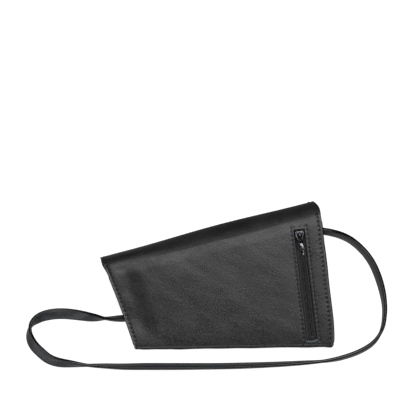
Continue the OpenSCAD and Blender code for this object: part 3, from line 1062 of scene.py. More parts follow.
def stitch_tree() -> Tree:
    """Geometry nodes that lay stitches along a sewn line, standing square to the leather.

    Returns:
        The tree, whose line carries the attribute face_normal.
    """
    name = "sewn_line"
    if name in bpy.data.node_groups:
        return bpy.data.node_groups[name]
    g = Graph(bpy.data.node_groups.new(name, "GeometryNodeTree"))
    g.socket("Geometry", "Geometry")
    for key, value in (("Pitch", 3.4 * MM), ("Length", 2.5 * MM), ("Thread", 0.3 * MM), ("Rise", 0.3 * MM),
                       ("Slant", 0.0), ("Wander", 0.05)):
        g.socket(key, "Float", value)
    g.socket("Seed", "Int", 3)
    g.socket("Finish", "Material")
    g.socket("Geometry", "Geometry", out=True)
    given = g.add("NodeGroupInput").outputs
    dots, faced = spots_on_line(g, given)
    most = given["Wander"]
    wander = g.add("FunctionNodeRandomValue", {2: g.math("MULTIPLY", most, -1.0), 3: most,
                                               "Seed": given["Seed"]}, data_type="FLOAT").outputs[1]
    angle = g.add("ShaderNodeCombineXYZ", {"Z": g.math("ADD", wander, given["Slant"])}).outputs[0]
    spun = g.add("FunctionNodeRotateRotation", {"Rotation": faced, "Rotate By": g.add(
        "FunctionNodeEulerToRotation", {0: angle}).outputs[0]}, rotation_space="LOCAL").outputs[0]
    half = g.math("MULTIPLY", given["Length"], 0.5)
    low = g.math("MULTIPLY", given["Thread"], -1.1)
    ends = [g.add("ShaderNodeCombineXYZ", {"X": x, "Z": low}).outputs[0]
            for x in (g.math("MULTIPLY", half, -1.0), half)]
    top = g.add("ShaderNodeCombineXYZ", {"Z": g.math("MULTIPLY", given["Rise"], 2.4)}).outputs[0]
    arc = g.add("GeometryNodeCurveQuadraticBezier", {"Resolution": 6, "Start": ends[0], "Middle": top,
                                                     "End": ends[1]}).outputs[0]
    section = g.add("GeometryNodeCurvePrimitiveCircle", {"Resolution": 8,
                                                         "Radius": given["Thread"]}).outputs[0]
    stitch = g.add("GeometryNodeCurveToMesh", {"Curve": arc, "Profile Curve": section,
                                               "Fill Caps": True}).outputs[0]
    lay_copies(g, given, dots, stitch, spun)
    return g.tree


def coil_tree() -> Tree:
    """Geometry nodes that lay flattened nylon loops along one side of the zip.

    Returns:
        The tree, whose line carries the attribute face_normal.
    """
    name = "coil_loops"
    if name in bpy.data.node_groups:
        return bpy.data.node_groups[name]
    g = Graph(bpy.data.node_groups.new(name, "GeometryNodeTree"))
    g.socket("Geometry", "Geometry")
    for key, value in (("Pitch", 1.25 * MM), ("Reach", 1.0 * MM), ("Height", 0.5 * MM), ("Wire", 0.28 * MM),
                       ("Slant", 0.25)):
        g.socket(key, "Float", value)
    g.socket("Finish", "Material")
    g.socket("Geometry", "Geometry", out=True)
    given = g.add("NodeGroupInput").outputs
    dots, faced = spots_on_line(g, given)
    ring = g.add("GeometryNodeCurvePrimitiveCircle", {"Resolution": 14, "Radius": 1.0}).outputs[0]
    shape = g.add("ShaderNodeCombineXYZ", {"X": given["Reach"], "Y": given["Height"], "Z": 1.0}).outputs[0]
    yaw = g.math("ADD", given["Slant"], math.pi / 2)
    turn = g.add("ShaderNodeCombineXYZ", {"X": math.pi / 2, "Z": yaw}).outputs[0]
    loop = g.add("GeometryNodeTransform", {"Geometry": ring, "Scale": shape, "Rotation": turn}).outputs[0]
    section = g.add("GeometryNodeCurvePrimitiveCircle", {"Resolution": 6, "Radius": given["Wire"]}).outputs[0]
    tooth = g.add("GeometryNodeCurveToMesh", {"Curve": loop, "Profile Curve": section}).outputs[0]
    lay_copies(g, given, dots, tooth, faced)
    return g.tree


def run_tree(name: str, tree: Tree, lines: Sequence[tuple[Array, Array]],
             settings: dict[str, Any]) -> Piece:
    """Runs a tree on sewn or wound lines and keeps the result as a plain mesh.

    Args:
        name: The new piece's name.
        tree: The geometry node tree.
        lines: Points and face normals of each line.
        settings: The tree's inputs, by name.

    Returns:
        The piece.
    """
    points = np.vstack([p for p, _ in lines])
    normals = np.vstack([n for _, n in lines])
    edges, start = [], 0
    for p, _ in lines:
        edges += [(start + k, start + k + 1) for k in range(len(p) - 1)]
        start += len(p)
    mesh = bpy.data.meshes.new(name + "_lines")
    mesh.from_pydata(points.tolist(), edges, [])
    mesh.attributes.new("face_normal", "FLOAT_VECTOR", "POINT").data.foreach_set(
        "vector", normals.astype(np.float32).ravel())
    guide = bpy.data.objects.new(name + "_lines", mesh)
    bpy.context.scene.collection.objects.link(guide)
    modifier = guide.modifiers.new(name, "NODES")
    modifier.node_group = tree
    for item in tree.interface.items_tree:
        if item.item_type == "SOCKET" and item.in_out == "INPUT" and item.name in settings:
            modifier[item.identifier] = settings[item.name]
    bpy.context.view_layer.update()
    result = bpy.data.meshes.new_from_object(guide.evaluated_get(bpy.context.evaluated_depsgraph_get()))
    result.name = name
    guide.modifiers.remove(modifier)
    bpy.data.objects.remove(guide)
    piece = bpy.data.objects.new(name, result)
    bpy.context.scene.collection.objects.link(piece)
    return piece


# ---------------------------------------------------------------- strap


@dataclass
class Strap:
    """The flat neck strap, which leaves the right side high up and comes back into the left side."""

    plan: PouchPlan
    palette: Palette
    width: float = 8.4 * MM
    thick: float = 2.5 * MM
    ring_step: float = 1.6 * MM
    # x, y and height over lying on the surface, in metres, and the tilt of the width in degrees
    route: tuple[tuple[float, float, float, float], ...] = (
        (0.0805, 0.0335, 0.0066, 62), (0.086, 0.0325, 0.0056, 62), (0.093, 0.0306, 0.0036, 62),
        (0.100, 0.0274, 0.0016, 62), (0.106, 0.023, 0.0004, 62), (0.112, 0.017, 0, 62),
        (0.1164, 0.011, 0, 62), (0.1198, 0.0046, 0, 62), (0.1232, -0.0044, 0, 63),
        (0.1256, -0.0134, 0, 68), (0.127, -0.0226, 0, 76), (0.127, -0.031, 0, 81),
        (0.1256, -0.040, 0, 87), (0.1216, -0.048, 0, 97), (0.1156, -0.054, 0, 104),
        (0.106, -0.0592, 0, 105), (0.094, -0.0632, 0, 103), (0.084, -0.0652, 0, 97),
        (0.076, -0.0661, 0, 90), (0.065, -0.0669, 0, 83), (0.054, -0.0676, 0, 79),
        (0.040, -0.0683, 0, 75), (0.024, -0.0689, 0, 72), (0.005, -0.0694, 0, 70),
        (-0.014, -0.0696, 0, 68), (-0.036, -0.0697, 0, 66), (-0.055, -0.0697, 0, 66),
        (-0.073, -0.0698, 0, 71), (-0.086, -0.0693, 0, 78), (-0.099, -0.0688, 0, 92),
        (-0.111, -0.0678, 0, 118), (-0.122, -0.0665, 0, 142), (-0.1294, -0.0638, 0, 152),
        (-0.1354, -0.059, 0, 154), (-0.1402, -0.054, 0, 148), (-0.143, -0.0486, 0, 130),
        (-0.1438, -0.043, 0, 106), (-0.1426, -0.0382, 0, 80), (-0.1396, -0.0348, 0, 54),
        (-0.135, -0.032, 0, 32), (-0.129, -0.0303, 0, 16), (-0.122, -0.0295, 0, 8),
        (-0.114, -0.0297, 0, 12), (-0.105, -0.0308, 0, 25), (-0.098, -0.0319, 0.0004, 42),
        (-0.092, -0.0324, 0.0018, 62), (-0.086, -0.0328, 0.0034, 88), (-0.079, -0.0330, 0.0048, 106),
        (-0.073, -0.0329, 0.0054, 114))

    def section(self) -> tuple[Array, Array]:
        """The strap's cross-section: both faces with a creased line by each edge, and rounded edges.

        Returns:
            Width and face offsets of each point, and how much painted edge each shows.
        """
        half, deep = self.width / 2, self.thick / 2
        crease = half - 1.15 * MM
        face = [(-half + 0.75 * MM, 0.0, 0.25), (-crease - 0.25 * MM, 0.03, 0.0), (-crease, 0.16, 0.35),
                (-crease + 0.3 * MM, 0.02, 0.0), (-crease * 0.45, -0.05, 0.0), (0.0, -0.07, 0.0)]
        face += [(-w, d, e) for w, d, e in face[-2::-1]]
        points, edge = [], []
        for sign in (1, -1):
            for w, d, e in face[::sign]:
                points.append((w, sign * (deep - d * MM)))
                edge.append(e)
            for angle in (60, 30, 0, -30, -60):
                c, s = math.cos(math.radians(angle)), sign * math.sin(math.radians(angle))
                out = half - 0.75 * MM + 0.75 * MM * c ** 0.8
                points.append((sign * out, deep * math.copysign(abs(s) ** 0.8, s)))
                edge.append(1.0)
        return np.array(points)[::-1], np.array(edge)[::-1]

    def centreline(self) -> tuple[Array, Array, Array]:
        """The strap's middle line and the directions of its width and face there."""
        rows = []
        for x, y, lift, tilt in self.route:
            a = math.radians(tilt)
            half = self.width / 2 * abs(math.sin(a)) + self.thick / 2 * abs(math.cos(a))
            rows.append([x, y, lift + half, tilt])
        path = along_path(np.array(rows), self.ring_step)
        centres, tilt = path[:, :3], np.radians(path[:, 3:4])
        heading = unit(np.gradient(centres, axis=0))
        inside = unit(np.column_stack([heading[:, 1], -heading[:, 0], np.zeros(len(path))]))
        up = np.cross(inside, heading)
        width_dir = -np.cos(tilt) * inside + np.sin(tilt) * up
        face_dir = np.sin(tilt) * inside + np.cos(tilt) * up
        return centres, width_dir, face_dir

    def build(self) -> None:
        """Makes the strap and its two sewn ends."""
        centres, width_dir, face_dir = self.centreline()
        section, edge = self.section()
        reach = np.abs(width_dir[:, 2:3]) * self.width / 2 + np.abs(face_dir[:, 2:3]) * self.thick / 2
        low = centres[:, 2:3] - reach
        centres = centres + np.maximum(0.05 * MM - low, 0) * UP
        run = np.r_[0, np.cumsum(np.linalg.norm(np.diff(centres, axis=0), axis=1))]
        wobble = 1 + 0.015 * np.sin(run / (9 * MM)) * np.sin(run / (23 * MM) + 1)
        rings = [c + section[:, :1] * k * w + section[:, 1:] * f
                 for c, w, f, k in zip(centres, width_dir, face_dir, wobble)]
        band = closed_loft("strap_band", rings, sharp=60,
                           marks={"painted_edge": np.tile(edge, len(rings))})
        dress(band, self.palette.strap, "strap_leather", "pouch", ["strap"])
        for side, at, sign in ((Side.RIGHT, 0, -1), (Side.LEFT, -1, 1)):
            heading = unit(centres[1] - centres[0]) if at == 0 else unit(centres[-1] - centres[-2])
            steps = np.linspace(0.05 * MM, 5.2 * MM, 6)
            tab = [centres[at] + sign * s * heading + 0.99 * section[:, :1] * width_dir[at]
                   + 0.98 * section[:, 1:] * face_dir[at] for s in steps]
            piece = closed_loft(f"strap_tab_{side.word}", tab if sign > 0 else tab[::-1], sharp=60,
                                marks={"painted_edge": np.tile(edge, len(tab))})
            dress(piece, self.palette.strap, "strap_leather", "pouch", [f"strap_end_{side.word}"])


# ---------------------------------------------------------------- hide


@dataclass
class Hide:
    """The outer hide: back panel with its window, bottom fold, rolled top fold, flap and front panel."""

    plan: PouchPlan
    palette: Palette
    low: float = 4.4 * MM
    lower_round: float = 2.4 * MM
    roll_rows: int = 44
    window_rows: int = 140
    left_corner: float = 2.0 * MM
    right_corner: float = 1.8 * MM
    flap_short: float = 8 * MM
    flap_corner: float = 3 * MM
    mouth_drop: float = 12 * MM

    def blend(self, piece: Piece, back: bool) -> None:
        """Bakes a piece of the roll's place into its mesh; the ends of the bend between the pouch and the
        flap are worked out but nothing bends it.

        Args:
            piece: The finished mesh.
            back: True for the upper quarter of the roll, False for the lower quarter.
        """
        r = self.plan.fold_r
        if back:
            start, end = self.plan.place(0.0, -r / 2, 1.5 * r), self.plan.place(0.0, 1.5 * r, -r / 2)
        else:
            start, end = self.plan.place(0.0, 1.5 * r, 2.5 * r), self.plan.place(0.0, -r / 2, r / 2)
        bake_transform(piece)

    def columns(self) -> tuple[Array, Array, Array]:
        """Shares across the panel left of the window, across the window and right of it."""
        left = np.r_[np.linspace(0, 0.045, 14)[:-1], np.linspace(0.045, 0.965, 86)[:-1],
                     np.linspace(0.965, 1, 11)]
        return left, np.linspace(0, 1, 8), np.linspace(0, 1, 34)

    def row_ends(self, f: float, inset: float) -> tuple[Array, Array]:
        """Left and right ends of a panel row at a share f of the way from the bottom to the roll."""
        p = self.plan
        side = p.edge_step + p.cut_round
        rows = []
        for low, edge, sign in ((p.low_left, p.left_t, 1), (p.low_right, p.right_t, -1)):
            base = low[1] + inset
            n = base + f * (-p.roll_run - base)
            rows.append(np.array([float(edge(n)) + sign * side, n]))
        return rows[0], rows[1]

    def window_lines(self) -> tuple[Array, Array, float, float]:
        """The window's two long sides in t and n, from the bottom edge to the roll.

        Returns:
            Points of the left line and of the right line, and the shares of the way up at which
            the window starts and ends.
        """
        p = self.plan
        lines = []
        for sign in (-1, 1):
            top = p.flat(p.zip_point(sign * p.window_half, 0.0, 0.0))
            low = p.flat(p.zip_point(sign * p.window_half, p.window_l, 0.0))
            way = top - low
            (t0, n0), (t1, n1) = p.low_left, p.low_right
            rise = (n1 - n0) / (t1 - t0)
            inset = p.bottom_round
            back = (low[1] - (n0 + (low[0] - t0) * rise) - inset) / (way[1] - way[0] * rise)
            ahead = (-p.roll_run - top[1]) / way[1]
            lines.append(np.array([low - back * way, low, top, top + ahead * way]))
        run = lines[0][3] - lines[0][0]
        shares = [(lines[0][k] - lines[0][0])[1] / run[1] for k in (1, 2)]
        return lines[0], lines[1], float(shares[0]), float(shares[1])

    def bottom_fold(self, first: Array) -> tuple[list[Array], list[Array]]:
        """Rows of the bottom fold, from the panel's lowest row round and down to the front panel.

        Args:
            first: t and n of the panel's lowest row.

        Returns:
            The rows' points and their t, from the top down.
        """
        p = self.plan
        way = p.low_right - p.low_left
        outward = unit(np.array([way[1], -way[0]]))
        top_z = p.panel_z(first[:, 0], first[:, 1])
        upper, lower = p.bottom_round, self.lower_round
        levels = [(upper * math.sin(a), top_z - upper * (1 - math.cos(a)))
                  for a in np.radians([11, 22, 34, 46, 58, 70, 80, 90])]
        bend = len(levels)
        levels += [(upper, (top_z - upper) * (1 - share) + (self.low + lower) * share)
                   for share in (0.34, 0.67)]
        for a in np.radians([0, 22, 45, 68, 90]):
            height = np.full(len(first), self.low + lower * (1 - math.sin(a)))
            levels.append((upper - lower * (1 - math.cos(a)), height))
        rows, across = [], []
        for k, (out, z) in enumerate(levels):
            base = first + out * outward
            for end, sign, radius in ((0, 1, self.left_corner), (-1, -1, self.right_corner)):
                cut = radius - math.sqrt(max(radius ** 2 - max(radius - upper + out, 0) ** 2, 0))
                base[:, 0] += sign * cut * (1 - smoothstep(np.abs(base[:, 0] - base[end, 0]), 0, 7 * MM))
            swell = 0.25 * MM * ripple(base[:, 0], z * 3, 30 * MM, 21) * math.exp(-((k - bend) / 3.0) ** 2)
            rows.append(p.place(base[:, 0] + swell * outward[0], base[:, 1] + swell * outward[1], z))
            across.append(base[:, 0])
        return rows, across

    def back(self) -> Piece:
        """Makes the back panel, with the bottom fold under it and half the roll above it."""
        p = self.plan
        left_line, right_line, f_low, f_high = self.window_lines()
        left, middle, right = self.columns()
        shares = np.r_[np.linspace(0, f_low, 10)[:-1], np.linspace(f_low, f_high, self.window_rows + 1)[:-1],
                       np.linspace(f_high, 1, 24)]

        def polyline(a: Array, b: Array, c: Array, d: Array) -> Array:
            """Points of one row through the edge, the window's sides and the other edge."""
            return np.vstack([a + left[:, None] * (b - a), b + middle[1:-1, None] * (c - b),
                              c + right[:, None] * (d - c)])

        def on_line(line: Array, f: float) -> Array:
            """Where a window line stands at a share of the way up."""
            stops = [0.0, f_low, f_high, 1.0]
            return np.array([np.interp(f, stops, line[:, k]) for k in (0, 1)])

        flats = []
        for f in shares:
            a, d = self.row_ends(f, p.bottom_round)
            flats.append(polyline(a, on_line(left_line, f), on_line(right_line, f), d))
        rows = [p.place(row[:, 0], row[:, 1], p.panel_z(row[:, 0], row[:, 1])) for row in flats]
        across = [row[:, 0] for row in flats]
        below, below_t = self.bottom_fold(flats[0])
        across = below_t[::-1] + across
        rows = below[::-1] + rows
        # the upper quarter of the roll
        line = [on_line(left_line, 1.0)[0], on_line(right_line, 1.0)[0]]
        side = p.edge_step + p.cut_round
        for k in range(1, self.roll_rows + 1):
            m = p.roll_l * k / self.roll_rows
            ends = [p.inset_t(edge, p.roll_n(edge, m), side) for edge in (Side.LEFT, Side.RIGHT)]
            grown = (side - 0.35 * MM) * float(smoothstep(k / self.roll_rows, 0.0, 0.6))
            ends = (ends[0] - grown, ends[1] + grown)
            row = polyline(*(np.array([t, 0.0]) for t in (ends[0], *line, ends[1])))
            rows.append(p.hide(row[:, 0], m))
            across.append(row[:, 0])
        grid = np.array(rows)
        count_r, count_c = grid.shape[:2]
        low_rows = len(below)
        first_open = low_rows + 9
        last_open = first_open + self.window_rows
        gap_from, gap_to = len(left) - 1, len(left) + len(middle) - 2

        def in_window(i: int, j: int) -> bool:
            """Whether a cell lies inside the window."""
            return first_open <= i < last_open and gap_from <= j < gap_to

        faces = grid_faces(count_r, count_c, in_window)
        up = np.r_[0, np.cumsum(np.linalg.norm(np.diff(grid[:, count_c // 2], axis=0), axis=1))]
        uv = np.stack([np.array(across), np.repeat(up[:, None], count_c, axis=1)], axis=-1)
        flat = np.zeros((count_r, count_c), bool)
        flat[0], flat[-1] = True, True
        used = np.zeros(count_r * count_c, bool)
        used[np.unique(faces)] = True
        renumber = np.cumsum(used) - 1
        # The window's rim stands out less than the sides, which also paints its cut edge dimmer: painted
        # shade on the rim.
        bulge = np.full((count_r, count_c), 0.35 * MM)
        shrink = 1 - smoothstep(np.arange(count_r) - (count_r - self.roll_rows), 0, 0.6 * self.roll_rows)
        bulge[:, 0] += (p.cut_round - 0.35 * MM) * shrink
        bulge[:, -1] += (p.cut_round - 0.35 * MM) * shrink
        return thick_sheet("back_hide", grid.reshape(-1, 3)[used], renumber[np.array(faces)],
                           uv.reshape(-1, 2)[used], p.hide_t, bulge.ravel()[used], flat.ravel()[used])

    def flap(self) -> Piece:
        """Makes the lower quarter of the roll with the flap beyond it."""
        p = self.plan
        side = 0.35 * MM
        shares = np.r_[np.linspace(0, 0.04, 8)[:-1], np.linspace(0.04, 0.96, 90)[:-1],
                       np.linspace(0.96, 1, 8)]
        rows, across = [], []
        for k in range(self.roll_rows + 1):
            a = math.pi / 2 * (1 + k / self.roll_rows)
            n, z = p.fold_r * math.sin(a), p.fold_r * (1 + math.cos(a))
            ease = side * float(smoothstep(k / self.roll_rows, 0.0, 0.5))
            t = float(p.left_t(n)) + ease + shares * (float(p.right_t(n)) - float(p.left_t(n)) - 2 * ease)
            rows.append(p.place(t, n + p.bow(t) * math.sin(a), z))
            across.append(t)
        r = self.flap_corner
        for f in np.linspace(0, 1, 70)[1:]:
            ends = []
            for low_n, edge, sign in ((p.low_left[1], p.left_t, 1), (p.low_right[1], p.right_t, -1)):
                last = low_n + self.flap_short
                n = f * last
                cut = r - math.sqrt(max(r * r - max(r - n + last, 0.0) ** 2, 0.0))
                ends.append((float(edge(n)) + sign * (side + cut), n))
            (t0, n0), (t1, n1) = ends
            t, n = t0 + shares * (t1 - t0), n0 + shares * (n1 - n0)
            rows.append(p.place(t, n, 0.0))
            across.append(t)
        grid = np.array(rows)
        up = np.r_[0, np.cumsum(np.linalg.norm(np.diff(grid[:, len(shares) // 2], axis=0), axis=1))]
        uv = np.stack([np.array(across), np.repeat(up[:, None], len(shares), axis=1)], axis=-1)
        flat = np.zeros(grid.shape[:2], bool)
        flat[0] = True
        return thick_grid("flap_hide", grid, uv, p.hide_t, side, flat=flat.ravel())

    def front(self) -> Piece:
        """Makes the front panel, which the flap covers."""
        p = self.plan
        side = 0.35 * MM
        shares = np.linspace(0, 1, 90)
        rows, across = [], []
        for f in np.linspace(0, 1, 60):
            ends = []
            for low, edge, sign in ((p.low_left, p.left_t, 1), (p.low_right, p.right_t, -1)):
                start = low[1] + self.lower_round + 0.05 * MM
                n = start + f * (-self.mouth_drop - start)
                ends.append((float(edge(n)) + sign * side, n))
            (t0, n0), (t1, n1) = ends
            t, n = t0 + shares * (t1 - t0), n0 + shares * (n1 - n0)
            calm = np.sin(math.pi * shares) * math.sin(math.pi * f)
            z = self.low + 0.25 * MM * calm * ripple(t, n, 40 * MM, 31) ** 2
            rows.append(p.place(t, n, z))
            across.append(t)
        grid = np.array(rows)[::-1]
        up = np.r_[0, np.cumsum(np.linalg.norm(np.diff(grid[:, 45], axis=0), axis=1))]
        uv = np.stack([np.array(across)[::-1], np.repeat(up[:, None], len(shares), axis=1)], axis=-1)
        flat = np.zeros(grid.shape[:2], bool)
        flat[-1] = True
        return thick_grid("front_hide", grid, uv, 1.2 * MM, side, flat=flat.ravel())

    def build(self) -> None:
        """Makes and dresses the three pieces of hide."""
        back = self.back()
        dress(back, self.palette.hide, "hide", None, ["back_panel", "bottom_fold", "top_fold"])
        self.blend(back, True)
        flap = self.flap()
        dress(flap, self.palette.hide, "hide", None, ["flap"])
        self.blend(flap, False)
        dress(self.front(), self.palette.hide, "hide", "pouch", ["front_panel"])


# ---------------------------------------------------------------- sides, pockets and lining


@dataclass
class Insides:
    """What the hide encloses: pleated gussets, divider, card pocket, zip pocket bag and flap lining."""

    plan: PouchPlan
    palette: Palette
    gusset_t: float = 1.0 * MM
    front_top: float = 5.6 * MM
    stations: int = 90

    def gusset(self, side: Side) -> Piece:
        """Makes one pleated side wall, whose flanges show past the hide's cut edges."""
        p = self.plan
        sign = side.value
        edge = p.left_t if side is Side.LEFT else p.right_t
        low = (p.low_left if side is Side.LEFT else p.low_right)[1] + 2.0 * MM
        rows, runs = [], []
        for n in np.linspace(low, -2.2 * MM, self.stations):
            tuck = smoothstep(n, -9 * MM, -3 * MM) + smoothstep(low - n, -3 * MM, 0)
            t = float(edge(n)) - sign * 1.2 * MM * float(tuck)
            top = float(p.panel_z(t - sign * 1.2 * MM, n)) - p.hide_t - 0.12 * MM
            floor = self.front_top + 0.1 * MM
            tall = top - floor
            profile = [(5.0, top), (2.4, top), (0.55, top), (0.12, top - 0.35 * MM), (0.0, top - 0.8 * MM),
                       (0.35, top - 0.15 * tall), (2.0, top - 0.28 * tall), (4.2, top - 0.42 * tall),
                       (4.9, top - 0.5 * tall), (4.2, top - 0.58 * tall), (2.0, top - 0.72 * tall),
                       (0.35, floor + 0.15 * tall), (0.0, floor + 0.8 * MM), (0.12, floor + 0.35 * MM),
                       (0.55, floor), (2.4, floor), (5.0, floor)]
            path = along_path(np.array([[q * MM, z, 0.0] for q, z in profile]), 0.55 * MM)
            at = np.linspace(0, 1, 44)
            run = np.linspace(0, 1, len(path))
            q, z = np.interp(at, run, path[:, 0]), np.interp(at, run, path[:, 1])
            rows.append(p.place(t - sign * q, n, z))
            runs.append(at * 24 * MM)
        grid = np.array(rows)
        if side is Side.LEFT:
            grid = grid[:, ::-1]
        length = np.linspace(0, 1, self.stations) * abs(low)
        uv = np.stack([np.repeat(length[:, None], grid.shape[1], axis=1), np.array(runs)], axis=-1)
        normals = point_normals(grid.reshape(-1, 3), np.array(grid_faces(*grid.shape[:2])))
        middle = normals.reshape(grid.shape)[self.stations // 2, 22]
        inwards = bool(middle[:2] @ (sign * p.along[:2]) < 0)
        return thick_grid(f"{side.word}_gusset_fold", grid, uv, self.gusset_t, 0.1 * MM, inwards)

    def leaf(self, name: str, corners: Sequence[tuple[float, float]], z: float, thick: float,
             seed: int) -> Piece:
        """Makes a thin, slightly uneven sheet that faces the flap.

        Args:
            name: The piece's name.
            corners: t and n of its corners: lower left, lower right, upper right and upper left.
            z: Height of its lower face.
            thick: Its thickness.
            seed: Fixes its unevenness.

        Returns:
            The sheet.
        """
        p = self.plan
        a, b, c, d = (np.array(v) for v in corners)
        u, v = np.meshgrid(np.linspace(0, 1, 60), np.linspace(0, 1, 44))
        u, v = u[..., None], v[..., None]
        flat = (1 - v) * ((1 - u) * a + u * b) + v * ((1 - u) * d + u * c)
        wave = 0.12 * MM * (1 + ripple(flat[..., 0], flat[..., 1], 30 * MM, seed))
        grid = p.place(flat[..., 0], flat[..., 1], z + wave)[::-1]
        return thick_grid(name, grid, flat[::-1], thick, thick * 0.4)

    def inset_corners(self, left: float, bottom: float, right: float,
                      top: float) -> list[tuple[float, float]]:
        """Corners in t and n of the pouch's outline moved inwards on each side."""
        p = self.plan
        corners = []
        for n, side in ((p.low_left[1] + bottom, Side.LEFT), (p.low_right[1] + bottom, Side.RIGHT),
                        (-top, Side.RIGHT), (-top, Side.LEFT)):
            t = p.inset_t(side, n, left if side is Side.LEFT else right)
            corners.append((t, n))
        return corners

    def bag(self) -> Piece:
        """Makes the cloth bag that hangs behind the zip, open towards it."""
        p = self.plan
        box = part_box("zip_pocket_bag")
        floor = box[0].z + 0.1 * MM
        a, b, c, d = (np.array(v) for v in self.inset_corners(0, 2.6 * MM, 7 * MM, 1.5 * MM))
        left = p.flat(np.array([box[0].x, 0, 0]))[0] + 12 * MM
        a = a + (b - a) * (left - a[0]) / (b - a)[0]
        d = d + (c - d) * (left - d[0]) / (c - d)[0]
        around = 96
        turn = np.linspace(0, 2 * math.pi, around, endpoint=False)
        square = np.stack([np.cos(turn), np.sin(turn)], axis=1)
        square = square / np.maximum(np.abs(square).max(1, keepdims=True), 1e-9)
        round_off = 0.9 + 0.1 * np.abs(np.cos(2 * turn))[:, None]
        square = square * (0.9 * round_off + 0.1)
        rows = []
        for scale, level in ((1.0, 1.0), (1.0, 0.85), (1.0, 0.6), (0.995, 0.3), (0.97, 0.1), (0.93, 0.02),
                             (0.85, 0.0), (0.7, 0.0), (0.5, 0.0), (0.3, 0.0), (0.1, 0.0), (0.02, 0.0)):
            u, v = (square[:, 0:1] * scale + 1) / 2, (square[:, 1:2] * scale + 1) / 2
            flat = (1 - v) * ((1 - u) * a + u * b) + v * ((1 - u) * d + u * c)
            roof = 2 * p.fold_r + flat[:, 1] * p.slope - p.hide_t - 1.9 * MM
            wave = 0.35 * MM * ripple(flat[:, 0], flat[:, 1], 22 * MM, 41) ** 2
            rows.append(p.place(flat[:, 0], flat[:, 1], floor + wave + (roof - floor) * level))
        grid = np.array(rows)
        faces: list[tuple[int, ...]] = grid_faces(len(rows), around, wrap=True)
        run = np.arange(len(rows))[:, None] * 4 * MM
        uv = np.stack([np.repeat((turn * 25 * MM)[None], len(rows), 0), np.repeat(run, around, 1)], axis=-1)
        faces = [f[::-1] for f in faces]
        return thick_sheet("zip_bag", grid.reshape(-1, 3), faces, uv.reshape(-1, 2), 0.45 * MM, 0.1 * MM)

    def build(self) -> None:
        """Makes and dresses every inner piece."""
        for side in Side:
            dress(self.gusset(side), self.palette.gusset, "gusset_leather", "pouch", [f"{side.word}_gusset"])
        divider = self.leaf("divider_leaf", self.inset_corners(8 * MM, 3 * MM, 8 * MM, 12 * MM), 6.2 * MM,
                            0.5 * MM, 51)
        dress(divider, self.palette.lining, "lining", "pouch", ["divider_panel"])
        low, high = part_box("card_pocket")
        corners = [self.plan.flat(np.array([x, y, 0])) for x, y in
                   ((low.x, low.y), (high.x, low.y), (high.x, high.y), (low.x, high.y))]
        card = self.leaf("card_slip", [tuple(c) for c in corners], low.z + 0.15 * MM, 0.7 * MM, 52)
        dress(card, self.palette.gusset, "gusset_leather", "pouch", ["card_pocket"])
        dress(self.bag(), self.palette.lining, "lining", "pouch", ["zip_pocket_bag"])
        short = 9 * MM
        lining = self.leaf("flap_lining_cloth", self.inset_corners(1.4 * MM, short, 1.4 * MM, 0.2 * MM),
                           1.42 * MM, 0.5 * MM, 53)
        dress(lining, self.palette.lining, "lining", "flap", ["flap_lining"])


# ---------------------------------------------------------------- zip


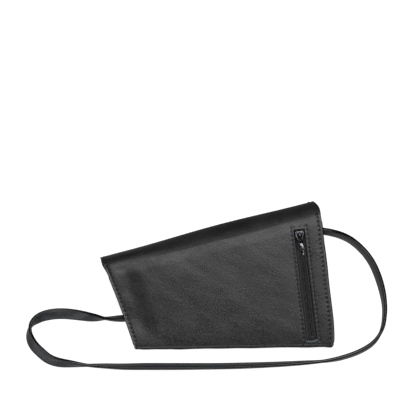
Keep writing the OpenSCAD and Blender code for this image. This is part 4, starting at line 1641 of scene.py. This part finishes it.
@dataclass
class Zip:
    """The zip in the back panel: tapes, coils, stops, slider and pull."""

    plan: PouchPlan
    palette: Palette
    tape_deep: float = 1.45 * MM
    coil_start: float = 5.2 * MM
    coil_end: float = 81.6 * MM
    # how far sideways the pull hangs for each metre down
    hang: float = 0.13

    def tape(self, side: Side) -> Piece:
        """Makes one woven tape, with its corded inner edge."""
        p = self.plan
        x = side.value * np.linspace(1.0 * MM, 9.0 * MM, 26)
        down = np.linspace(-4.8 * MM, p.window_l + 1.8 * MM, 120)
        bead = 0.22 * MM * np.exp(-((np.abs(x) - 3.1 * MM) / (0.35 * MM)) ** 2)
        ribs = 0.04 * MM * np.sin(np.abs(x) / (0.22 * MM))
        if side is Side.RIGHT:
            sunk = np.tile(3.2 * MM * smoothstep(np.abs(x), 2.9 * MM, 3.3 * MM), (len(down), 1))
        else:
            beside = 1 - smoothstep(down, 11 * MM, 19 * MM)
            sunk = (0.45 * MM * smoothstep(np.abs(x), 2.7 * MM, 4.3 * MM)
                    + 2.4 * MM * beside[:, None] * smoothstep(np.abs(x), 1.9 * MM, 3.4 * MM))
        grid = np.array([p.zip_point(x, d, -self.tape_deep - 0.15 * MM + bead + ribs - low
                                     + 0.12 * MM * math.sin(d / (7 * MM))) for d, low in zip(down, sunk)])
        uv = np.stack(np.meshgrid(np.abs(x), down), axis=-1)
        return thick_grid(f"tape_{side.word}", grid, uv, 0.45 * MM, 0.1 * MM, side is Side.RIGHT, steps=4)

    def coil(self, side: Side) -> Piece:
        """Makes one side of the coil: loops, and the sewing thread that holds them to the tape."""
        p = self.plan
        shift = 0.6 * MM if side is Side.RIGHT else 0.0
        down = np.linspace(self.coil_start + shift, self.coil_end, 80)
        middle = p.zip_point(side.value * 1.12 * MM, down, -0.82 * MM)
        normals = np.tile(p.lift, (len(down), 1))
        loops = run_tree(f"coil_{side.word}", coil_tree(), [(middle, normals)], {
            "Pitch": 0.84 * MM, "Reach": 1.02 * MM, "Height": 0.36 * MM, "Wire": 0.2 * MM,
            "Slant": 0.2 * side.value, "Finish": self.palette.coil})
        lines = [(p.zip_point(side.value * x * MM, down, -0.2 * MM), normals) for x in (1.35, 1.75)]
        sewing = run_tree(f"coil_sewing_{side.word}", stitch_tree(), lines, {
            "Pitch": 1.3 * MM, "Length": 1.25 * MM, "Thread": 0.13 * MM, "Rise": 0.1 * MM, "Slant": 0.0,
            "Wander": 0.1, "Seed": 5, "Finish": self.palette.thread})
        return joined(f"coil_{side.word}", [loops, sewing])

    def open_with_slider(self, piece: Piece, side: Side) -> None:
        """Gives a tape or coil a mesh of its own; the point it would be drawn back towards is worked out but
        not used.
        """
        p = self.plan
        anchor = p.zip_point(side.value * 5.4 * MM, 40 * MM, 0.0)
        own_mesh(piece)

    def block(self, name: str, outline: Sequence[tuple[float, float]], low: float, high: float,
              edge: float, fall: float = 0.0) -> Piece:
        """Makes a small plate with rounded edges in the zip's frame.

        Args:
            name: The piece's name.
            outline: Across and down pairs in millimetres, round its middle.
            low: Height of its underside above the leather, in millimetres.
            high: Height of its top.
            edge: Radius of its edges.
            fall: How much lower it gets for each millimetre further down.

        Returns:
            The plate.
        """
        corner = np.array(outline, float)
        centre = corner.mean(0)
        angle = np.arctan2(*(corner - centre).T)
        corner = corner[np.argsort(angle)]
        dense = []
        for a, b, c in zip(np.roll(corner, 1, 0), corner, np.roll(corner, -1, 0)):
            r = min(0.6, 0.4 * np.linalg.norm(b - a), 0.4 * np.linalg.norm(c - b))
            start, end = b + r * unit(a - b), b + r * unit(c - b)
            for s in np.linspace(0, 1, 6):
                dense.append((1 - s) ** 2 * start + 2 * s * (1 - s) * b + s * s * end)
        ring = np.array(dense)
        away = ring - centre
        rings = []
        for a in np.radians([-90, -60, -30, 0, 0, 30, 60, 90]):
            pull = edge * (1 - math.cos(a))
            level = low + edge * (1 + math.sin(a)) if len(rings) < 4 else high - edge * (1 - math.sin(a))
            shape = centre + away * (1 - pull / np.maximum(np.linalg.norm(away, axis=1, keepdims=True), 1e-6))
            lift = level - fall * (shape[:, 1] - centre[1])
            rings.append(self.plan.zip_point(shape[:, 0] * MM, shape[:, 1] * MM, lift * MM))
        return closed_loft(name, rings, sharp=30)

    def bar(self, name: str, path: Sequence[Sequence[float]], across: float, thick: float,
            closed: bool = False, step: float = 0.25) -> Piece:
        """Sweeps a rounded bar along a path in the zip's frame.

        Args:
            name: The piece's name.
            path: Across, down and above triples, in millimetres.
            across: Half the bar's size sideways.
            thick: Half its size the other way.
            closed: Whether the path is a loop.
            step: Distance between its rings.

        Returns:
            The bar.
        """
        line = along_path(np.array(path, float), step)
        if closed:
            line = line[:-1]
            heading = unit(np.roll(line, -1, 0) - np.roll(line, 1, 0))
        else:
            heading = unit(np.gradient(line, axis=0))
        sideways = np.cross(heading, [0, 0, 1.0])
        steep = np.linalg.norm(sideways, axis=1, keepdims=True)
        sideways = unit(np.where(steep < 0.2, np.array([1.0, 0, 0]), sideways))
        rise = np.cross(sideways, heading)
        turn = np.linspace(0, 2 * math.pi, 16, endpoint=False)
        c, s = np.cos(turn), np.sin(turn)
        shape = np.stack([np.sign(c) * np.abs(c) ** 0.7 * across, np.sign(s) * np.abs(s) ** 0.7 * thick], 1)
        rings = []
        for at, a, b in zip(line, sideways, rise):
            ring = at + shape[:, :1] * a + shape[:, 1:] * b
            rings.append(self.plan.zip_point(ring[:, 0] * MM, ring[:, 1] * MM, ring[:, 2] * MM))
        return closed_loft(name, rings, caps=not closed, closed=closed, sharp=60)

    def plated(self, name: str, dark: Sequence[Piece],
               bright: Sequence[Piece]) -> Piece:
        """Joins dark plated parts with others in a brighter plating, which is a painted highlight."""
        for parts, finish in ((dark, self.palette.nickel), (bright, self.palette.worn)):
            for part in parts:
                part.data.materials.append(finish)
        return joined(name, [*dark, *bright])

    def slider(self) -> Piece:
        """Makes the slider's plates, raised flanks, wedge and crown."""
        top = 1.4
        plate = [(-2.6, top + 0.1), (-3.8, top + 1.3), (-3.7, top + 3.0), (-2.1, top + 8.7), (2.1, top + 8.7),
                 (3.3, top + 3.0), (3.4, top + 1.3), (2.6, top + 0.1)]
        parts = [self.block("slider_upper", plate, 0.3, 0.95, 0.25, 0.07),
                 self.block("slider_lower", plate, -3.3, -2.35, 0.3)]
        # The flanks go into the brighter plating: a painted highlight along them.
        bright = []
        for sign, shoulder in ((-1, 3.0), (1, 2.9)):
            flank = [(sign * shoulder, top + 0.8, 1.25), (sign * (shoulder - 0.3), top + 2.6, 1.22),
                     (sign * (shoulder - 1.0), top + 5.2, 1.1), (sign * 1.15, top + 8.6, 0.9)]
            bright.append(self.bar(f"slider_flank_{sign}", flank, 0.44, 0.36))
            guide = [(sign * 3.2, top + 1.6, -2.4), (sign * 3.1, top + 4.0, -2.3),
                     (sign * 2.2, top + 8.2, -2.3)]
            parts.append(self.bar(f"slider_guide_{sign}", guide, 0.3, 0.4))
        parts.append(self.block("slider_wedge", [(-0.85, top + 0.7), (0.85, top + 0.7), (0.3, top + 3.3),
                                                 (-0.3, top + 3.3)], -2.6, 0.6, 0.15))
        crown = [(0, top + 1.3, 0.9), (0, top + 1.35, 1.9), (0, top + 1.9, 2.7), (0, top + 3.2, 3.05),
                 (0, top + 5.0, 2.95), (0, top + 6.8, 2.7), (0, top + 7.7, 2.0), (0, top + 7.8, 0.8)]
        parts.append(self.bar("slider_crown", crown, 0.78, 0.36))
        return self.plated("slider_body", parts, bright)

    def pull(self) -> Piece:
        """Makes the pull: an eye round the crown, a narrow ribbed tab and a round end."""
        z = 2.0
        eye = [(0.0, 6.6, z), (-0.9, 6.75, z), (-1.55, 7.4, z), (-1.6, 8.6, z - 0.05), (-1.3, 10.0, z - 0.15),
               (-0.7, 10.9, z - 0.2), (0.0, 11.1, z - 0.2), (0.7, 10.9, z - 0.2), (1.3, 10.0, z - 0.15),
               (1.6, 8.6, z - 0.05), (1.55, 7.4, z), (0.9, 6.75, z), (0.0, 6.6, z)]
        eye = [(x, d + 0.55, w) for x, d, w in eye]
        parts = [self.bar("pull_eye", eye, 0.36, 0.36, closed=True)]
        tab = [(-1.35, 10.9), (-1.55, 12.5), (-1.45, 16.3), (1.45, 16.3), (1.55, 12.5), (1.35, 10.9)]
        # The tab plate and, below, the round end go into the brighter plating: a painted highlight.
        bright = [self.block("pull_tab_plate", tab, z - 0.55, z + 0.15, 0.25)]
        for sign in (-1, 1):
            rib = [(sign * 1.05, 11.2, z + 0.1), (sign * 1.15, 13.5, z + 0.12), (sign * 1.05, 16.0, z + 0.1)]
            parts.append(self.bar(f"pull_rib_{sign}", rib, 0.18, 0.18))
        neck = [(-0.75, 16.0), (-0.7, 18.0), (0.7, 18.0), (0.75, 16.0)]
        parts.append(self.block("pull_neck", neck, z - 0.4, z + 0.05, 0.18))
        profile = [(0.2, -0.72), (0.8, -0.62), (1.12, -0.35), (1.22, 0.0), (1.12, 0.35), (0.8, 0.6),
                   (0.4, 0.72), (0.1, 0.75)]
        p = self.plan
        bright.append(turned("pull_end", [(r * MM, h * MM) for r, h in profile],
                             p.zip_point(0.0, 18.95 * MM, (z - 0.1) * MM), 24, p.lift, p.zip_across))
        tab = self.plated("pull_tab", parts, bright)
        for vertex in tab.data.vertices:
            down = float((np.array(vertex.co) - p.zip_top) @ p.zip_down)
            vertex.co = np.array(vertex.co) + self.hang * max(down - 8.5 * MM, 0.0) * p.zip_across
        return tab

    def build(self) -> None:
        """Makes and dresses the whole zip."""
        for side in Side:
            tape = dress(self.tape(side), self.palette.tape, "zip_tape", "pouch", [f"zip_tape_{side.word}"])
            self.open_with_slider(tape, side)
            coil = dress(self.coil(side), self.palette.coil, "zip_coil", "pouch", [f"zip_coil_{side.word}"])
            self.open_with_slider(coil, side)
        corners = ((1.1, -1.05), (2.3, -1.05), (2.3, -0.25), (1.1, -0.25))
        stops = [self.block(f"stop_{s.word}", [(s.value * x, d) for x, d in corners], -1.75, -0.8, 0.2)
                 for s in Side]
        dress(joined("top_stops", stops), self.palette.nickel, "black_metal", "pouch", ["zip_top_stops"])
        corners = [(-2.4, 82.1), (2.4, 82.1), (2.4, 84.6), (-2.4, 84.6)]
        low = self.block("bottom_stop", corners, -1.35, 0.0, 0.3)
        dress(low, self.palette.blackened, "black_metal", "pouch", ["zip_bottom_stop"])
        # A pale teal bar across the slot's bottom end stands in for a glint there: a painted highlight.
        glint_path = [(-4.6, 85.4, 0.0), (-2.0, 86.1, -0.05), (1.5, 86.1, -0.05), (4.2, 85.3, 0.1)]
        edge = self.bar("lining_edge", glint_path, 0.42, 0.14)
        dress(edge, self.palette.pale, "zip_tape", "pouch")
        dress(self.slider(), self.palette.nickel, "black_metal", "zip_slider", ["zip_slider"])
        dress(self.pull(), self.palette.nickel, "black_metal", "zip_pull", ["zip_pull"])


# ---------------------------------------------------------------- stitching


@dataclass
class Stitching:
    """Every sewn line that shows."""

    plan: PouchPlan
    palette: Palette
    hide: Hide

    def settings(self, **changes: Any) -> dict[str, Any]:
        """The tree's inputs for this thread, with any changes."""
        base = {"Pitch": self.plan.pitch, "Length": 2.8 * MM, "Thread": 0.32 * MM, "Rise": 0.22 * MM,
                "Slant": 0.0, "Wander": 0.06, "Seed": 7, "Finish": self.palette.thread}
        return {**base, **changes}

    def line_on_hide(self, t: Array, m: Array) -> tuple[Array, Array]:
        """A sewn line on the outer hide, with the hide's normals along it."""
        p = self.plan
        step = 0.25 * MM
        points = p.hide(t, m)
        normals = unit(np.cross(p.hide(t + step, m) - points, p.hide(t, m + step) - points))
        return points, normals

    def side_seam(self, side: Side) -> tuple[tuple[Array, Array], tuple[Array, Array]]:
        """One side's seam: the part on the panel and the part on the roll."""
        p = self.plan
        inset = p.left_seam if side is Side.LEFT else p.right_seam
        start = p.seam_start(side) + p.roll_run
        panel = np.linspace(start, 0.0, 160)
        roll = np.linspace(0.0, p.roll_l * 0.99, 60)
        lines = []
        for m in (panel, roll):
            n = p.roll_n(side, m)
            t = p.left_t(n) + inset if side is Side.LEFT else p.right_t(n) - inset
            lines.append(self.line_on_hide(t, m))
        return lines[0], lines[1]

    def window_lines(self) -> list[tuple[Array, Array]]:
        """The rows round the window: both long sides and the top."""
        p = self.plan
        beside = p.window_half + p.window_seam
        lines = []
        for x, down in ((np.full(150, -beside), np.linspace(-1.9 * MM, p.window_l + 0.5 * MM, 150)),
                        (np.full(150, beside), np.linspace(-1.9 * MM, p.window_l + 0.5 * MM, 150)),
                        (np.linspace(-beside + 2.2 * MM, beside - 1.2 * MM, 40), np.full(40, -2.1 * MM))):
            spots = np.array([p.flat(v) for v in p.zip_point(x, down, 0.0)])
            lines.append(self.line_on_hide(spots[:, 0], spots[:, 1] + p.roll_run))
        return lines

    def flap_lines(self) -> list[tuple[Array, Array]]:
        """The row round the flap, seen on its lining."""
        p = self.plan
        inset, short = 3.2 * MM, self.hide.flap_short + 3 * MM
        n_left, n_right = p.low_left[1] + short, p.low_right[1] + short
        n_top = -3 * MM
        way = [(p.inset_t(side, n, inset), n) for side, n in ((Side.LEFT, n_top), (Side.LEFT, n_left),
                                                              (Side.RIGHT, n_right), (Side.RIGHT, n_top))]
        lines = []
        for (t0, n0), (t1, n1) in zip(way[:-1], way[1:]):
            s = np.linspace(0, 1, 90)
            points = p.place(t0 + s * (t1 - t0), n0 + s * (n1 - n0), 2.2 * MM)
            lines.append((points, np.tile(UP, (90, 1))))
        return lines

    def build(self) -> None:
        """Makes and dresses every row."""
        folds = []
        for side in Side:
            panel, roll = self.side_seam(side)
            folds.append(roll)
            row = run_tree(f"{side.word}_seam_stitching", stitch_tree(), [panel], self.settings())
            dress(row, self.palette.thread, "thread", "pouch", [f"{side.word}_seam_stitches"])
        over = run_tree("fold_seam_stitching", stitch_tree(), folds, self.settings())
        dress(over, self.palette.thread, "thread", None)
        self.hide.blend(over, True)
        window = run_tree("zip_frame_stitching", stitch_tree(), self.window_lines(), self.settings())
        dress(window, self.palette.thread, "thread", "pouch", ["zip_frame_stitches"])
        flap = run_tree("flap_stitching", stitch_tree(), self.flap_lines(), self.settings(Seed=9))
        dress(flap, self.palette.thread, "thread", "flap", ["flap_stitches"])


# ---------------------------------------------------------------- press stud


@dataclass
class PressStud:
    """The stud that holds the flap: cap and socket on the flap, ball and post on the front panel."""

    palette: Palette

    def centre(self) -> Array:
        """The stud's axis in plan, from the cap's box."""
        low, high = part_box("stud_cap")
        return np.array([(low.x + high.x) / 2, (low.y + high.y) / 2, 0.0])

    def build(self) -> None:
        """Makes and dresses the four turned pieces."""
        at = self.centre()
        pieces = (
            ("stud_cap_disc", "stud_cap", "flap", "black_metal", self.palette.nickel,
             [(0.2, 0.0), (4.4, 0.0), (5.4, 0.06), (5.85, 0.25), (5.95, 0.5), (5.7, 0.68), (1.5, 0.7),
              (1.45, 1.9), (1.2, 1.95), (0.1, 1.95)]),
            ("stud_socket_ring", "stud_socket", "flap", "stud_metal", self.palette.steel,
             [(0.1, 2.02), (4.6, 2.02), (4.95, 2.15), (5.0, 2.5), (4.8, 2.9), (4.2, 3.05), (3.8, 3.1),
              (3.6, 3.45), (3.2, 3.58), (2.9, 3.45), (2.75, 3.0), (2.7, 2.55), (2.4, 2.52), (0.1, 2.52)]),
            ("stud_ball_turned", "stud_ball", "pouch", "stud_metal", self.palette.steel,
             [(0.1, 2.82), (1.2, 2.84), (1.9, 2.95), (2.25, 3.2), (2.28, 3.5), (2.05, 3.8), (2.1, 3.9),
              (4.3, 3.92), (4.85, 4.0), (4.95, 4.2), (4.8, 4.36), (0.1, 4.38)]),
            ("stud_post_turned", "stud_post", "pouch", "stud_metal", self.palette.steel,
             [(0.1, 4.42), (1.4, 4.42), (1.48, 5.62), (4.1, 5.64), (4.45, 5.75), (4.4, 5.95), (4.0, 6.0),
              (0.1, 6.0)]),
        )
        for name, node, body, slot, finish, profile in pieces:
            piece = turned(name, [(r * MM, z * MM) for r, z in profile], at)
            dress(piece, finish, slot, body, [node])


# ---------------------------------------------------------------- studio


@dataclass
class Studio:
    """Camera, floor and soft lights."""

    middle: tuple[float, float] = (-0.0076, 0.05119)
    distance: float = 3.0
    frame_width: float = 0.31616
    panel_height: float = 0.016

    def camera(self) -> None:
        """Looks straight down on the back panel."""
        data = bpy.data.cameras.new("camera")
        data.lens = data.sensor_width * (self.distance - self.panel_height) / self.frame_width
        data.clip_end = 20
        camera = bpy.data.objects.new("camera", data)
        camera.location = (*self.middle, self.distance)
        bpy.context.scene.collection.objects.link(camera)
        bpy.context.scene.camera = camera

    def area(self, name: str, place: tuple[float, float, float], size: tuple[float, float], power: float,
             towards: tuple[float, float, float] = (0.0, 0.0, 0.0)) -> None:
        """Adds one soft box.

        Args:
            name: The light's name.
            place: Where it hangs.
            size: Its width and height.
            power: Its power in watts.
            towards: The point it faces.
        """
        data = bpy.data.lights.new(name, "AREA")
        data.shape = "RECTANGLE"
        data.size, data.size_y = size
        data.energy = power
        data.color = (0.98, 0.975, 1.0)
        light = bpy.data.objects.new(name, data)
        light.location = place
        aim = np.array(towards) - np.array(place)
        light.rotation_mode = "QUATERNION"
        light.rotation_quaternion = Vector(aim.tolist()).to_track_quat("-Z", "Y")
        light.visible_camera = False
        bpy.context.scene.collection.objects.link(light)

    def build(self) -> None:
        """Makes the camera, floor, lights and world."""
        self.camera()
        mesh = bpy.data.meshes.new("floor")
        half = 3.0
        corners = [(-half, -half, 0), (half, -half, 0), (half, half, 0), (-half, half, 0)]
        mesh.from_pydata(corners, [], [(0, 1, 2, 3)])
        floor = bpy.data.objects.new("floor", mesh)
        floor.data.materials.append(FloorFinish("floor_paper").build())
        bpy.context.scene.collection.objects.link(floor)
        self.area("key_box", (0.2, 0.47, 1.52), (1.3, 1.0), 17.8)
        self.area("low_box", (-0.3, -1.4, 1.0), (1.4, 0.6), 9)
        self.area("side_box", (-1.2, -1.0, 0.9), (0.8, 0.8), 4.5)
        world = bpy.data.worlds.new("studio")
        world.use_nodes = True
        background = next(n for n in world.node_tree.nodes if n.type == "BACKGROUND")
        background.inputs["Color"].default_value = (1, 1, 1, 1)
        background.inputs["Strength"].default_value = 0.05
        bpy.context.scene.world = world
        bpy.context.scene.view_settings.view_transform = "Standard"


def main() -> None:
    """Builds the studio and every sub-assembly in order."""
    logging.basicConfig(level=logging.INFO, format="%(name)s: %(message)s")
    Studio().build()
    plan, palette = PouchPlan(), Palette()
    Strap(plan, palette).build()
    hide = Hide(plan, palette)
    hide.build()
    Insides(plan, palette).build()
    Zip(plan, palette).build()
    Stitching(plan, palette, hide).build()
    PressStud(palette).build()


if __name__ == "__main__":
    main()
